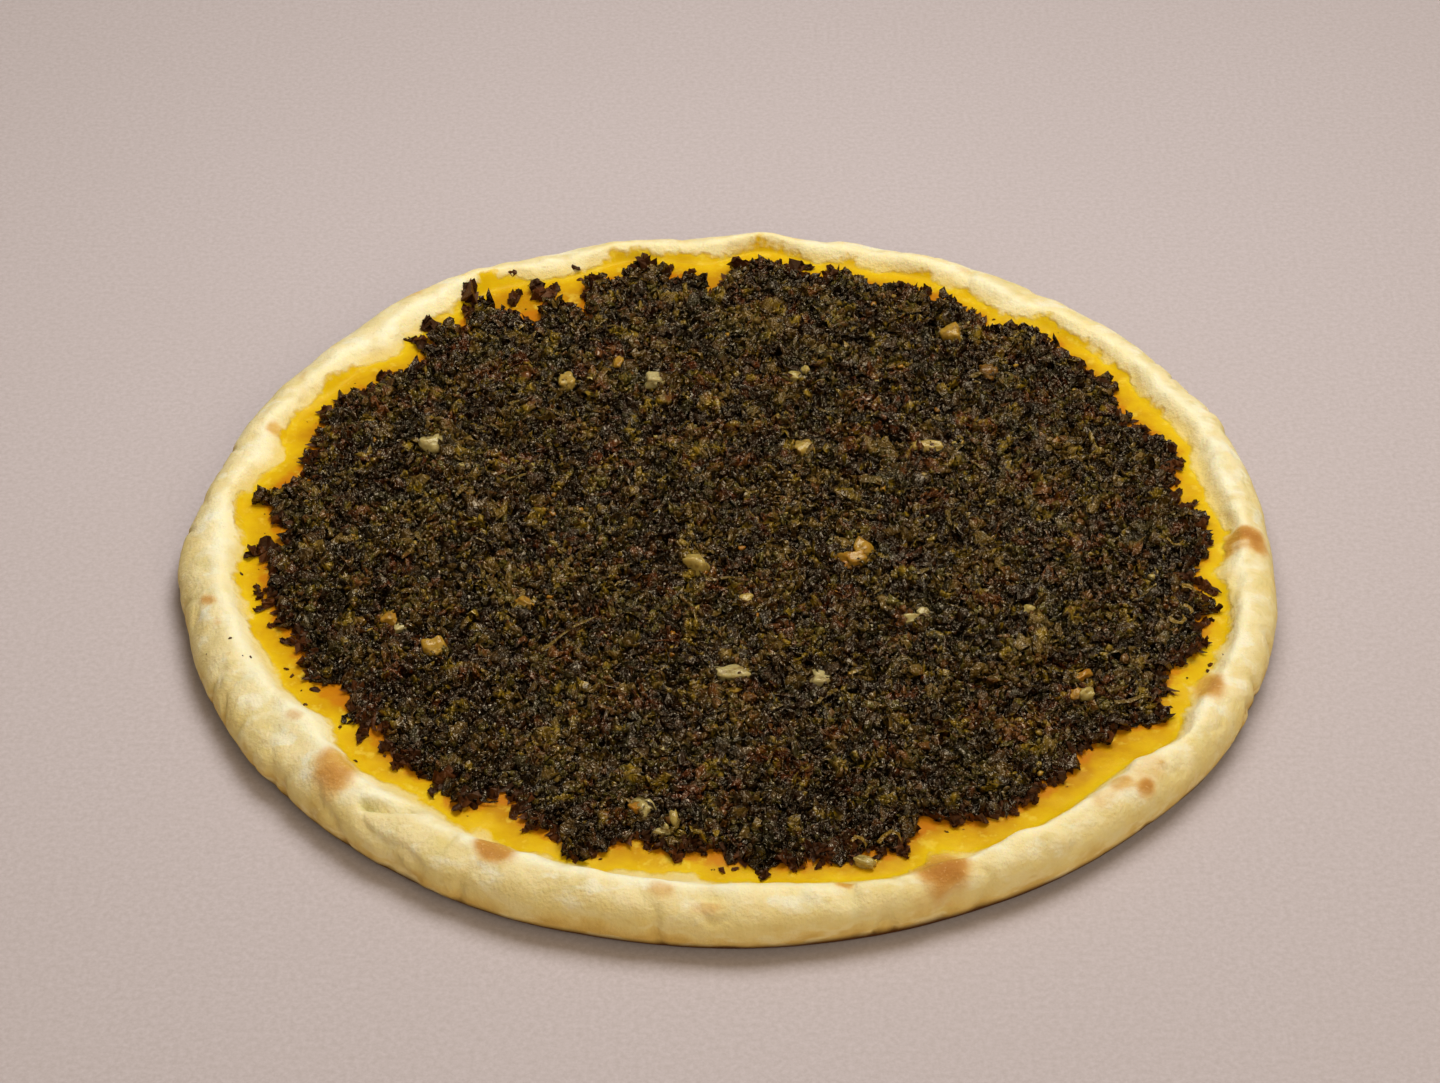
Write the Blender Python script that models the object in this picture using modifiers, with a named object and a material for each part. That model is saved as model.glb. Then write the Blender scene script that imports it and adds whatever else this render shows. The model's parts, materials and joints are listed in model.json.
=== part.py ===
"""Spinach manakish: a round flatbread with a puffed rim, covered with a baked layer of chopped spinach.

Metres, +Z up. The origin is under the middle of the outline, on the surface that the bread lies on.
The front edge is at -Y. Angles run anticlockwise from +X, seen from above.
"""
import math
import random

import bmesh
import bpy
from mathutils import Matrix, Vector, geometry, noise

MM = 0.001

# Bread
BREAD_RADIUS = 130.0 * MM
RIM_HEIGHT = 13.0 * MM
WIDEST_HEIGHT = 6.0 * MM        # where the rim's side stands out furthest
WELL_HEIGHT = 9.7 * MM          # top of the flat middle that carries the spinach
WELL_RADIUS = 117.0 * MM        # the foot of the rim
WELL_SHIFT = Vector((1.5, -0.2)) * MM  # the rim is a little wider at the left
CREST_INSET = 8.0 * MM          # from the outline in to the top of the rim
BASE_INSET = 8.5 * MM           # from the outline in to the flat underside
BREAD_STEPS = 120
SLOPE_SEGMENTS = 3              # well up to the crest
SHOULDER_SEGMENTS = 5           # crest down to the widest line
UNDERSIDE_SEGMENTS = 4          # widest line in to the flat underside

# Swells and flats of the outline: angle, half width in degrees, reach in millimetres
OUTLINE_SWELLS = (
    (0, 14, -1.6), (22, 4, 0.9), (56, 16, 0.9), (89, 15, -1.7), (129, 10, 2.8), (168, 7, -1.0),
    (184, 9, 1.7), (211, 17, 0.8), (244, 15, 1.3), (270, 10, 0.7), (292, 8, -0.3), (326, 8, 0.7),
)
# Bays and tongues of the well's edge, where the rim is wider or narrower
WELL_SWELLS = (
    (8, 8, -2.8), (27, 4, -2.6), (52, 4, -4.4), (66, 5, 1.6), (86, 4, 4.8), (94, 3, -2.0), (103, 5, 3.4),
    (121, 6, 4.2), (139, 3, -4.0), (158, 3, 1.8), (173, 4, 3.0), (205, 6, -1.4), (216, 6, -4.4),
    (236, 6, -1.8), (287, 9, 3.0), (301, 6, 1.6), (324, 4, 2.8), (352, 5, -4.0),
)
# Puffs and sags of the rim's crest
CREST_SWELLS = (
    (20, 10, 0.4), (60, 9, -0.4), (87, 3, 0.9), (128, 10, 0.5), (165, 8, -0.4), (196, 10, 0.5),
    (224, 5, 0.7), (240, 3, -0.4), (255, 8, 0.5), (281, 2.5, -0.7), (300, 7, 0.4), (351, 3, -0.6),
)
# Dents pressed into the rim: angle, inset from the outline, length, width, depth, all in millimetres
RIM_DENTS = (
    (233.0, 10.5, 13.0, 4.0, 1.4), (240.0, 7.0, 2.6, 12.0, 0.8), (281.5, 5.0, 3.0, 10.0, 1.0),
    (351.0, 9.5, 6.0, 3.0, 1.2), (13.0, 8.5, 12.0, 3.5, 0.8), (203.0, 11.0, 7.0, 3.0, 0.6),
    (211.0, 9.5, 9.0, 4.0, 0.7), (268.0, 6.5, 8.0, 2.6, 0.5), (313.0, 7.5, 6.0, 3.0, 0.5),
    (60.0, 6.5, 3.0, 7.0, 0.7), (160.0, 9.0, 8.0, 3.0, 0.5),
)
LUMP_SIZE = 14.0 * MM
LUMP_DEPTH = 0.45 * MM
LUMP_START = 0.25               # part of the rim's width over which lumps and dents set in
SIDE_START = 0.5                # from this part of the width on, they also push sideways

# Spinach
SPINACH_RADIUS = 112.7 * MM
SPINACH_SHIFT = Vector((1.3, 0.4)) * MM
SPINACH_GAP = 0.3 * MM          # stays between the layer and the bread
SPINACH_THICKNESS = 2.35 * MM
EDGE_THICKNESS = 1.15 * MM
EDGE_SLOPE = 4.0 * MM           # width over which the layer thins out to its edge
EDGE_STEPS = 360
EDGE_ROUGHNESS = 0.7 * MM
EDGE_CLEARANCE = 0.6 * MM       # left between the ragged edge and the foot of the rim
CRUMB_SPACING = 3.45 * MM
CRUMB_JITTER = 0.28             # both are parts of the spacing
CRUMB_EDGE_GAP = 0.5
CRUMB_RELIEF = 0.75 * MM
HEAP_SIZE = 17.0 * MM
HEAP_DEPTH = 0.45 * MM

# Tongues and bays of the spinach's edge: angle, half width in degrees, reach in millimetres
SPINACH_SWELLS = (
    (8, 4.5, -5.0), (17, 2, 2.2), (27, 4, -2.6), (45, 2.2, 4.6), (52, 2.5, -3.2), (63, 3, 3.2),
    (75, 2.2, 2.8), (86, 4, 4.4), (92.5, 2, -7.5), (102, 2.5, 4.8), (109, 2.5, 3.4), (112.5, 1.8, -8.0),
    (119, 2, -4.0), (125, 2.4, 7.2), (132, 1.8, 5.0), (140, 4, -5.0), (153, 4, 2.6), (163, 3, -2.2),
    (172, 3.5, 3.8), (181, 2, -2.6), (190, 6, 1.8), (201, 2, -2.8), (218, 8, -3.2), (233, 2, -3.0),
    (237, 1.8, 4.0), (242, 2.4, -5.0), (253, 2.4, 5.0), (259, 2.4, -4.0), (277, 7, 3.0), (287, 2, 3.0),
    (294, 2, -2.5), (302, 4, 2.4), (317, 5, -2.4), (325, 2.2, 5.4), (342, 6, 1.8), (352, 3, -4.2),
)
# Diced onion baked into the top: place across, place back, length and turn, in millimetres and degrees
ONION_DICE = (
    (-72.5, 34.7, 4.9, 30), (-18.4, 60.9, 6.5, -15), (-40.0, 61.3, 5.0, 50), (17.0, 63.1, 5.8, 35),
    (19.2, 33.1, 5.4, 70), (49.4, 34.7, 6.6, 10), (-7.5, -12.1, 6.4, 0), (1.1, -51.8, 7.0, 25),
    (21.2, -53.2, 5.2, 80), (44.4, -30.9, 6.2, 40), (30.7, -8.4, 7.2, 20), (-77.0, -33.4, 5.2, 0),
    (-66.9, -41.3, 4.8, 60), (-47.1, -26.5, 5.0, 35), (-18.0, -95.1, 5.4, 20), (80.3, -58.3, 5.0, 0),
    (58.0, 81.7, 5.4, 15), (29.1, -107.0, 6.0, -20),
)
DICE_DEPTH_RATIO = 0.72         # across to length
DICE_HEIGHT = 2.2 * MM
DICE_SINK = 0.1 * MM            # how far a dice's middle lies under the spinach's top
DICE_BEVEL = 0.7 * MM

SEED = 20
MERGE_DISTANCE = 0.01 * MM
EDGE_TOLERANCE = 0.001 * MM

BREAD_COLOUR = (0.80, 0.65, 0.36, 1.0)
SPINACH_COLOUR = (0.040, 0.030, 0.012, 1.0)


def clear_scene():
    for obj in list(bpy.data.objects):
        bpy.data.objects.remove(obj, do_unlink=True)


def principled(name, colour, roughness):
    material = bpy.data.materials.new(name)
    material.use_nodes = True
    shader = material.node_tree.nodes["Principled BSDF"]
    shader.inputs["Base Color"].default_value = colour
    shader.inputs["Roughness"].default_value = roughness
    shader.inputs["Metallic"].default_value = 0.0
    return material


def add_object(collection, name, mesh, material):
    obj = bpy.data.objects.new(name, mesh)
    collection.objects.link(obj)
    mesh.materials.clear()
    mesh.materials.append(material)
    return obj


def bake_modifiers(obj):
    """The object's mesh as its modifiers leave it, with the modifiers taken off."""
    bpy.context.view_layer.update()
    depsgraph = bpy.context.evaluated_depsgraph_get()
    mesh = bpy.data.meshes.new_from_object(obj.evaluated_get(depsgraph))
    obj.modifiers.clear()
    obj.data = mesh
    return mesh


def smooth(value):
    value = min(max(value, 0.0), 1.0)
    return value * value * (3.0 - 2.0 * value)


def swell(angle, swells):
    """Sum of the round swells at an angle in radians, in metres."""
    total = 0.0
    for centre, half_width, reach in swells:
        turn = (math.degrees(angle) - centre + 180.0) % 360.0 - 180.0
        total += reach * MM * math.exp(-((turn / half_width) ** 2))
    return total


def shifted_circle(angle, radius, shift):
    """Distance from the origin to a circle whose centre is moved a little."""
    return radius + shift.x * math.cos(angle) + shift.y * math.sin(angle)


def outline_radius(angle):
    return BREAD_RADIUS + swell(angle, OUTLINE_SWELLS)


def well_radius(angle):
    return shifted_circle(angle, WELL_RADIUS, WELL_SHIFT) + swell(angle, WELL_SWELLS)


def outline_middle():
    """Middle of the outline's box, which the swells push off the centre."""
    across = []
    back = []
    for step in range(EDGE_STEPS):
        angle = math.tau * step / EDGE_STEPS
        across.append(outline_radius(angle) * math.cos(angle))
        back.append(outline_radius(angle) * math.sin(angle))
    return Vector(((min(across) + max(across)) / 2, (min(back) + max(back)) / 2, 0.0))


def rim_profile():
    """The turned section, from the middle of the well over the rim to the middle of the underside."""
    crest = BREAD_RADIUS - CREST_INSET
    base = BREAD_RADIUS - BASE_INSET
    points = [(0.0, WELL_HEIGHT)]
    for step in range(SLOPE_SEGMENTS + 1):
        part = step / SLOPE_SEGMENTS
        radius = WELL_RADIUS + (crest - WELL_RADIUS) * part
        points.append((radius, WELL_HEIGHT + (RIM_HEIGHT - WELL_HEIGHT) * smooth(part)))
    for step in range(1, SHOULDER_SEGMENTS + 1):
        turn = math.pi / 2 * step / SHOULDER_SEGMENTS
        drop = (RIM_HEIGHT - WIDEST_HEIGHT) * (1.0 - math.cos(turn))
        points.append((crest + CREST_INSET * math.sin(turn), RIM_HEIGHT - drop))
    for step in range(1, UNDERSIDE_SEGMENTS + 1):
        turn = math.pi / 2 * step / UNDERSIDE_SEGMENTS
        height = WIDEST_HEIGHT * (1.0 - math.sin(turn))
        points.append((base + BASE_INSET * math.cos(turn), height))
    points.append((0.0, 0.0))
    return points


def dent_depth(angle, inset):
    """How far the rim is pressed in at a place on it."""
    total = 0.0
    for centre, dent_inset, length, width, depth in RIM_DENTS:
        turn = (angle - math.radians(centre) + math.pi) % math.tau - math.pi
        along = turn * BREAD_RADIUS / (length / 2 * MM)
        across = (inset - dent_inset * MM) / (width / 2 * MM)
        total += depth * MM * math.exp(-(along ** 2) - across ** 2)
    return total


def shaped_point(point):
    """Where a point of the turned form lies on the uneven bread."""
    radius = math.hypot(point.x, point.y)
    if radius < MERGE_DISTANCE:
        return point.copy()
    angle = math.atan2(point.y, point.x)
    width = BREAD_RADIUS - WELL_RADIUS
    part = (radius - WELL_RADIUS) / width
    foot = well_radius(angle)
    outer = outline_radius(angle)
    new_radius = foot + (outer - foot) * part
    above_well = smooth((point.z - WELL_HEIGHT) / (RIM_HEIGHT - WELL_HEIGHT))
    above_base = smooth(point.z / WIDEST_HEIGHT)
    lumpy = smooth(part / LUMP_START) * above_base
    direction = Vector((math.cos(angle), math.sin(angle), 0.0))
    outward = direction * max(part - SIDE_START, 0.0) / (1.0 - SIDE_START)
    outward.z = above_well
    placed = direction * new_radius
    placed.z = point.z
    lump = LUMP_DEPTH * noise.noise(placed / LUMP_SIZE)
    press = dent_depth(angle, outer - new_radius)
    placed.z += swell(angle, CREST_SWELLS) * above_well
    return placed + outward * (lump - press) * lumpy


def make_bread(collection, middle):
    profile = rim_profile()
    mesh = bpy.data.meshes.new("bread")
    edges = [(index, index + 1) for index in range(len(profile) - 1)]
    mesh.from_pydata([(radius, 0.0, height) for radius, height in profile], edges, [])
    bread = add_object(collection, "bread", mesh, principled("baked_dough", BREAD_COLOUR, 0.6))
    screw = bread.modifiers.new("turn", "SCREW")
    screw.steps = BREAD_STEPS
    screw.render_steps = BREAD_STEPS
    screw.use_merge_vertices = True
    screw.merge_threshold = MERGE_DISTANCE
    mesh = bake_modifiers(bread)
    for vertex in mesh.vertices:
        vertex.co = shaped_point(vertex.co) - middle
    mesh.shade_smooth()
    return bread


def spinach_edge(angle, draw):
    """Radius of the spinach's ragged edge, kept inside the foot of the rim."""
    radius = shifted_circle(angle, SPINACH_RADIUS, SPINACH_SHIFT) + swell(angle, SPINACH_SWELLS)
    radius += draw.uniform(-EDGE_ROUGHNESS, EDGE_ROUGHNESS)
    return min(radius, well_radius(angle) - EDGE_CLEARANCE)


def spinach_thickness(place, edge_distance, draw):
    """Thickness of the layer at a place: low heaps, crumbs and a thinner edge."""
    heap = HEAP_DEPTH * noise.noise(place / HEAP_SIZE)
    crumb = draw.uniform(-CRUMB_RELIEF, CRUMB_RELIEF)
    full = SPINACH_THICKNESS + heap + crumb
    return EDGE_THICKNESS + (full - EDGE_THICKNESS) * smooth(edge_distance / EDGE_SLOPE)


def crumb_places(edge, draw):
    """Jittered places on a staggered grid, inside the ragged edge."""
    row_height = CRUMB_SPACING * math.sqrt(0.75)
    rows = int(max(edge) / row_height) + 1
    columns = int(max(edge) / CRUMB_SPACING) + 1
    jitter = CRUMB_SPACING * CRUMB_JITTER
    places = []
    for row in range(-rows, rows + 1):
        for column in range(-columns, columns + 1):
            x = (column + 0.5 * (row % 2)) * CRUMB_SPACING + draw.uniform(-jitter, jitter)
            y = row * row_height + draw.uniform(-jitter, jitter)
            angle = math.atan2(y, x) % math.tau
            step = round(angle / math.tau * EDGE_STEPS)
            nearest = min(edge[(step + offset) % EDGE_STEPS] for offset in (-1, 0, 1))
            distance = nearest - math.hypot(x, y)
            if distance > CRUMB_SPACING * CRUMB_EDGE_GAP:
                places.append((Vector((x, y, 0.0)), distance))
    return places


def spinach_layer(draw):
    """The layer as a closed mesh: a crumbly top, a thin side and a flat underside."""
    floor = WELL_HEIGHT + SPINACH_GAP
    edge = [spinach_edge(math.tau * step / EDGE_STEPS, draw) for step in range(EDGE_STEPS)]
    points = []
    for step, radius in enumerate(edge):
        angle = math.tau * step / EDGE_STEPS
        place = Vector((radius * math.cos(angle), radius * math.sin(angle), 0.0))
        points.append(place + Vector((0.0, 0.0, floor + spinach_thickness(place, 0.0, draw))))
    for place, distance in crumb_places(edge, draw):
        points.append(place + Vector((0.0, 0.0, floor + spinach_thickness(place, distance, draw))))
    loop = [(step, (step + 1) % EDGE_STEPS) for step in range(EDGE_STEPS)]
    flat = [point.to_2d() for point in points]
    inside = 1
    result = geometry.delaunay_2d_cdt(flat, loop, [], inside, EDGE_TOLERANCE)
    sources = [origins[0] for origins in result[3]]
    builder = bmesh.new()
    vertices = [builder.verts.new(points[source]) for source in sources]
    for corners in result[2]:
        builder.faces.new([vertices[corner] for corner in corners])
    rim = [side for side in builder.edges if side.is_boundary]
    skirt = bmesh.ops.extrude_edge_only(builder, edges=rim)["geom"]
    for item in skirt:
        if isinstance(item, bmesh.types.BMVert):
            item.co.z = floor
    hem = [item for item in skirt if isinstance(item, bmesh.types.BMEdge)]
    underside = bmesh.ops.holes_fill(builder, edges=hem, sides=0)["faces"]
    bmesh.ops.triangulate(builder, faces=underside)
    bmesh.ops.recalc_face_normals(builder, faces=builder.faces)
    mesh = bpy.data.meshes.new("spinach")
    builder.to_mesh(mesh)
    builder.free()
    return mesh


def onion_dice(collection, middle, material):
    """The larger onion pieces, each a bevelled block half sunk in the top."""
    top = WELL_HEIGHT + SPINACH_GAP + SPINACH_THICKNESS
    for index, (x, y, length, turn) in enumerate(ONION_DICE):
        builder = bmesh.new()
        bmesh.ops.create_cube(builder, size=1.0)
        size = Vector((length * MM, length * MM * DICE_DEPTH_RATIO, DICE_HEIGHT))
        bmesh.ops.scale(builder, vec=size, verts=builder.verts)
        bmesh.ops.bevel(builder, geom=builder.edges, offset=DICE_BEVEL, segments=1, affect="EDGES")
        heap = HEAP_DEPTH * noise.noise(Vector((x, y, 0.0)) * MM / HEAP_SIZE)
        place = Vector((x * MM, y * MM, top + heap - DICE_SINK)) - middle
        turned = Matrix.Translation(place) @ Matrix.Rotation(math.radians(turn), 4, "Z")
        bmesh.ops.transform(builder, matrix=turned, verts=builder.verts)
        mesh = bpy.data.meshes.new(f"onion_{index}")
        builder.to_mesh(mesh)
        builder.free()
        dice = add_object(collection, f"onion_{index}", mesh, material)
        dice.hide_render = True
        dice.display_type = "WIRE"


def make_spinach(collection, middle):
    draw = random.Random(SEED)
    material = principled("baked_spinach", SPINACH_COLOUR, 0.35)
    mesh = spinach_layer(draw)
    mesh.transform(Matrix.Translation(-middle))
    spinach = add_object(collection, "spinach", mesh, material)
    loose = bpy.data.collections.new("onion_dice")
    bpy.context.scene.collection.children.link(loose)
    onion_dice(loose, middle, material)
    join = spinach.modifiers.new("onion", "BOOLEAN")
    join.operation = "UNION"
    join.operand_type = "COLLECTION"
    join.collection = loose
    join.solver = "EXACT"
    bake_modifiers(spinach)
    for dice in list(loose.objects):
        bpy.data.objects.remove(dice, do_unlink=True)
    bpy.data.collections.remove(loose)
    return spinach


def main():
    clear_scene()
    collection = bpy.data.collections.new("spinach_manakish")
    bpy.context.scene.collection.children.link(collection)
    middle = outline_middle()
    make_bread(collection, middle)
    make_spinach(collection, middle)


main()
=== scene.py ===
"""Spinach manakish: the looks of the bread and its baked spinach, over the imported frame.

Metres, +Z up, in the frame of the CAD model. The front edge is at -Y. Angles run anticlockwise
from +X, seen from above, about the place where the bread was turned.
"""
import json
import math
import random

import bmesh
import bpy
from mathutils import Euler, Matrix, Vector, geometry, noise
from mathutils.bvhtree import BVHTree

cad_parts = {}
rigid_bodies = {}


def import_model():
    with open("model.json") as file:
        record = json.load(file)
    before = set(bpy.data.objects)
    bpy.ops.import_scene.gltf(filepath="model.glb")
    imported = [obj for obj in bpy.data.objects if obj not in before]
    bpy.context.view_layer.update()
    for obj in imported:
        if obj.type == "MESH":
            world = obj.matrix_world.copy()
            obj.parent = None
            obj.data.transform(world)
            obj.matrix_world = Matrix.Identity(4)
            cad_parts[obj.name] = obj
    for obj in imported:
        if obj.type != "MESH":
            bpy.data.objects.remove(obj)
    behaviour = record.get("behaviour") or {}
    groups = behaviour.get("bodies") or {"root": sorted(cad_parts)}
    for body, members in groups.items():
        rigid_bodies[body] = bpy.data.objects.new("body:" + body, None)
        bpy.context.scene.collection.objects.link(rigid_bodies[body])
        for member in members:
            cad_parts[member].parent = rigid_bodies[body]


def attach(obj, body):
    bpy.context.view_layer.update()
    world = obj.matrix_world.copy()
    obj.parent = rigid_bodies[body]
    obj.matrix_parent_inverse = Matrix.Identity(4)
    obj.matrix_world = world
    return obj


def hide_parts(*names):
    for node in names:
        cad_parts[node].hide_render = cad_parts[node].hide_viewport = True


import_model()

MM = 0.001

# Bread, with the CAD part's own driving sizes
BREAD_RADIUS = 130.0 * MM
RIM_HEIGHT = 13.0 * MM
WIDEST_HEIGHT = 6.0 * MM        # where the rim's side stands out furthest
WELL_HEIGHT = 9.7 * MM          # top of the flat middle that carries the spinach
WELL_RADIUS = 117.0 * MM        # the foot of the rim
WELL_SHIFT = Vector((1.5, -0.2)) * MM
CREST_INSET = 8.0 * MM          # from the outline in to the top of the rim
BASE_INSET = 8.5 * MM           # from the outline in to the flat underside
LUMP_SIZE = 14.0 * MM
LUMP_DEPTH = 0.45 * MM
LUMP_START = 0.25               # part of the rim's width over which lumps and dents set in
SIDE_START = 0.5                # from this part of the width on, they also push sideways

# Swells and flats of the outline: angle, half width in degrees, reach in millimetres
OUTLINE_SWELLS = (
    (0, 14, -1.6), (22, 4, 0.9), (56, 16, 0.9), (89, 15, -1.7), (129, 10, 2.8), (168, 7, -1.0),
    (184, 9, 1.7), (211, 17, 0.8), (244, 15, 1.3), (270, 10, 0.7), (292, 8, -0.3), (326, 8, 0.7),
)
# Bays and tongues of the well's edge
WELL_SWELLS = (
    (8, 8, -2.8), (27, 4, -2.6), (52, 4, -4.4), (66, 5, 1.6), (86, 4, 4.8), (94, 3, -2.0), (103, 5, 3.4),
    (121, 6, 4.2), (139, 3, -4.0), (158, 3, 1.8), (173, 4, 3.0), (205, 6, -1.4), (216, 6, -4.4),
    (236, 6, -1.8), (287, 9, 3.0), (301, 6, 1.6), (324, 4, 2.8), (352, 5, -4.0),
)
# Puffs and sags of the rim's crest
CREST_SWELLS = (
    (20, 10, 0.4), (60, 9, -0.4), (87, 3, 0.9), (128, 10, 0.5), (165, 8, -0.4), (196, 10, 0.5),
    (224, 5, 0.7), (240, 3, -0.4), (255, 8, 0.5), (281, 2.5, -0.7), (300, 7, 0.4), (351, 3, -0.6),
)
# Dents pressed into the rim: angle, inset from the outline, length, width, depth, all in millimetres
RIM_DENTS = (
    (233.6, 11.2, 10.0, 4.0, 0.9), (240.0, 7.0, 2.6, 12.0, 0.8), (281.5, 5.0, 3.0, 10.0, 1.0),
    (351.0, 9.5, 6.0, 3.0, 1.2), (13.0, 8.5, 12.0, 3.5, 0.8), (203.0, 11.0, 7.0, 3.0, 0.6),
    (211.0, 9.5, 9.0, 4.0, 0.7), (268.0, 6.5, 8.0, 2.6, 0.5), (313.0, 7.5, 6.0, 3.0, 0.5),
    (60.0, 6.5, 3.0, 7.0, 0.7), (160.0, 9.0, 8.0, 3.0, 0.5),
)
# A pinched slot in the rim and the small dimples round it, as above
FINE_DENTS = (
    (229.9, 5.5, 3.0, 2.3, 2.5), (230.6, 6.3, 3.4, 2.4, 2.0), (231.3, 7.2, 3.4, 2.4, 1.9),
    (232.0, 8.2, 3.4, 2.6, 2.2), (232.8, 9.3, 3.6, 2.8, 2.1), (233.6, 10.5, 3.6, 2.8, 1.9),
    (234.3, 11.6, 3.2, 2.4, 1.2), (206.0, 8.0, 4.0, 5.0, 0.6), (215.0, 6.0, 4.5, 4.0, 0.5),
    (276.6, 6.4, 2.4, 9.0, 0.6), (286.0, 8.0, 2.6, 7.0, 0.6), (305.0, 4.0, 5.0, 4.0, 0.5),
    (310.0, 8.0, 4.0, 3.0, 0.4), (322.0, 6.0, 4.0, 4.0, 0.4), (355.2, 12.0, 5.0, 4.0, 0.7),
    (18.0, 7.0, 4.0, 5.0, 0.5), (196.0, 9.0, 5.0, 3.0, 0.5), (187.0, 7.0, 6.0, 3.5, 0.5),
    (176.0, 10.0, 5.0, 3.0, 0.5),
)

# Rings of the bread's mesh, close together where the rim and the oil show
BREAD_STEPS = 900
WELL_PARTS = (0.25, 0.5, 0.7, 0.8, 0.86, 0.89) + tuple(0.91 + 0.01 * step for step in range(9))
SLOPE_RINGS = 7
SHOULDER_RINGS = 15
UNDERSIDE_RINGS = 12
BASE_PARTS = (0.97, 0.9, 0.7, 0.4)
# Size and depth of the finer lumps, in millimetres
DOUGH_RELIEF = ((12.0, 0.85), (6.0, 0.62), (2.8, 0.24), (1.5, 0.07))
SIDE_RELIEF = 0.4               # how much of this relief stays on the rim's outer side
SIDE_FADE = 7.0 * MM            # it lessens over this, from the crest outwards
LIP_FULLNESS = 0.45             # below 1 the side stays full almost down to the floor
DENT_SHADE_FULL = 1.8 * MM            # pressed this deep, the rim's dents get their full painted shade
SLOPE_LIGHT_FADE = 2.5 * MM           # the painted light that makes the rim's inner slope paler, against its shade, fades over this
OILY_RELIEF = 0.3               # how much of the relief stays where oil has soaked in
FOLD_SIZE = 9.0 * MM            # soft creases down the rim's outer side
FOLD_DEPTH = 1.1 * MM
FOLD_WIDTH = 0.2                # of the noise whose nought lines they follow
FOLD_SHIFT = Vector((9.0, 4.0, 2.0))    # another part of the noise, which says where they are deep
BLISTER_HEIGHT = 0.35 * MM      # the toasted spots are raised a little

# Values that the dough's material reads, for the top pole and for what can't be seen from above
DOUGH_VALUES = ("oil_depth", "spinach_gap", "toast", "dent", "inner_slope")
FAR = 20.0                      # in millimetres, well away from the edge of the oil or the spinach
IN_WELL = (FAR, -FAR, 0.0, 0.0, 0.0)
OUT_OF_SIGHT = (-FAR, FAR, 0.0, 0.0, 0.0)

# Edge of the oil on the rim, as a circle with swells
OIL_RADIUS = 118.0 * MM
OIL_SHIFT = Vector((1.56, -0.22)) * MM
OIL_SWELLS = (
    (10, 8, -4.2), (27, 4, -2.6), (52, 4, -4.4), (48, 2.5, 2.6), (66, 5, 1.6), (86, 4, 4.6), (92, 2, -1.0),
    (103, 5, 4.0), (121, 5, 7.0), (139, 3, -3.0), (150, 4, 1.6), (158, 3, 2.4), (165, 2, -2.0),
    (173, 4, 3.8), (188, 4, 1.4), (205, 6, -1.4), (216, 5, -4.8), (232, 6, -2.8), (242, 2, -2.6),
    (250, 4, -1.2), (263, 6, -2.2), (285, 9, 3.2), (291.2, 2.2, -3.4), (295, 3, -1.0), (301, 7, 2.0),
    (324, 3, 2.2), (332.5, 2.6, -3.0), (338, 3, -1.0), (346, 3, -1.2), (354, 4, -4.6), (358.5, 2, -1.6),
)
# Toasted spots: angle, inset from the outline, length, width, turn in degrees, strength
TOASTED_SPOTS = (
    (224.4, 8.2, 17.5, 12.5, -38, 0.68), (245.0, 9.6, 13.0, 9.5, -20, 0.85),
    (290.9, 6.9, 14.0, 15.0, 64, 1.0), (359.2, 8.0, 6.5, 14.0, 0, 0.7), (357.4, 12.4, 9.0, 5.0, 0, 0.6),
    (357.0, 3.6, 9.0, 5.0, 0, 0.6), (357.5, 8.2, 9.5, 9.5, 0, 0.5), (332.6, 9.3, 15.0, 8.5, 28, 0.76),
    (313.2, 7.0, 7.0, 6.0, 0, 0.55), (314.8, 2.8, 6.2, 4.0, 0, 0.55), (214.6, 11.4, 6.5, 4.6, 0, 0.45),
    (317.0, 5.4, 14.0, 8.0, 0, 0.35), (310.4, 6.0, 9.0, 6.0, 0, 0.38), (262.7, 6.6, 8.0, 5.5, 0, 0.45),
    (267.3, 3.4, 8.5, 3.4, 0, 0.45), (280.9, 7.4, 6.0, 2.6, 0, 0.75), (192.5, 6.0, 6.5, 3.6, 30, 0.65),
    (196.6, 6.6, 4.0, 2.6, 0, 0.4), (288.5, 0.6, 9.0, 3.0, 0, 0.25), (60.9, 5.2, 6.0, 3.5, 0, 0.35),
    (22.2, 3.2, 5.0, 3.0, 0, 0.35), (160.4, 9.5, 7.0, 5.0, 0, 0.6), (150.0, 5.0, 7.0, 4.0, 20, 0.3),
    (96.0, 5.0, 7.0, 3.0, 0, 0.3), (40.0, 4.0, 6.0, 3.0, -20, 0.3), (130.0, 4.5, 8.0, 4.0, 0, 0.35),
)
TOAST_CORE = 0.4                # part of a spot's radius that is evenly toasted
TOAST_FADE = 0.9                # part of it over which the rest fades

# Spinach layer, with the CAD part's own driving sizes
SPINACH_RADIUS = 112.7 * MM
SPINACH_SHIFT = Vector((1.3, 0.4)) * MM
SPINACH_GAP = 0.3 * MM
SPINACH_THICKNESS = 2.35 * MM
EDGE_CLEARANCE = 0.6 * MM
HEAP_SIZE = 17.0 * MM
HEAP_DEPTH = 0.45 * MM
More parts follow.
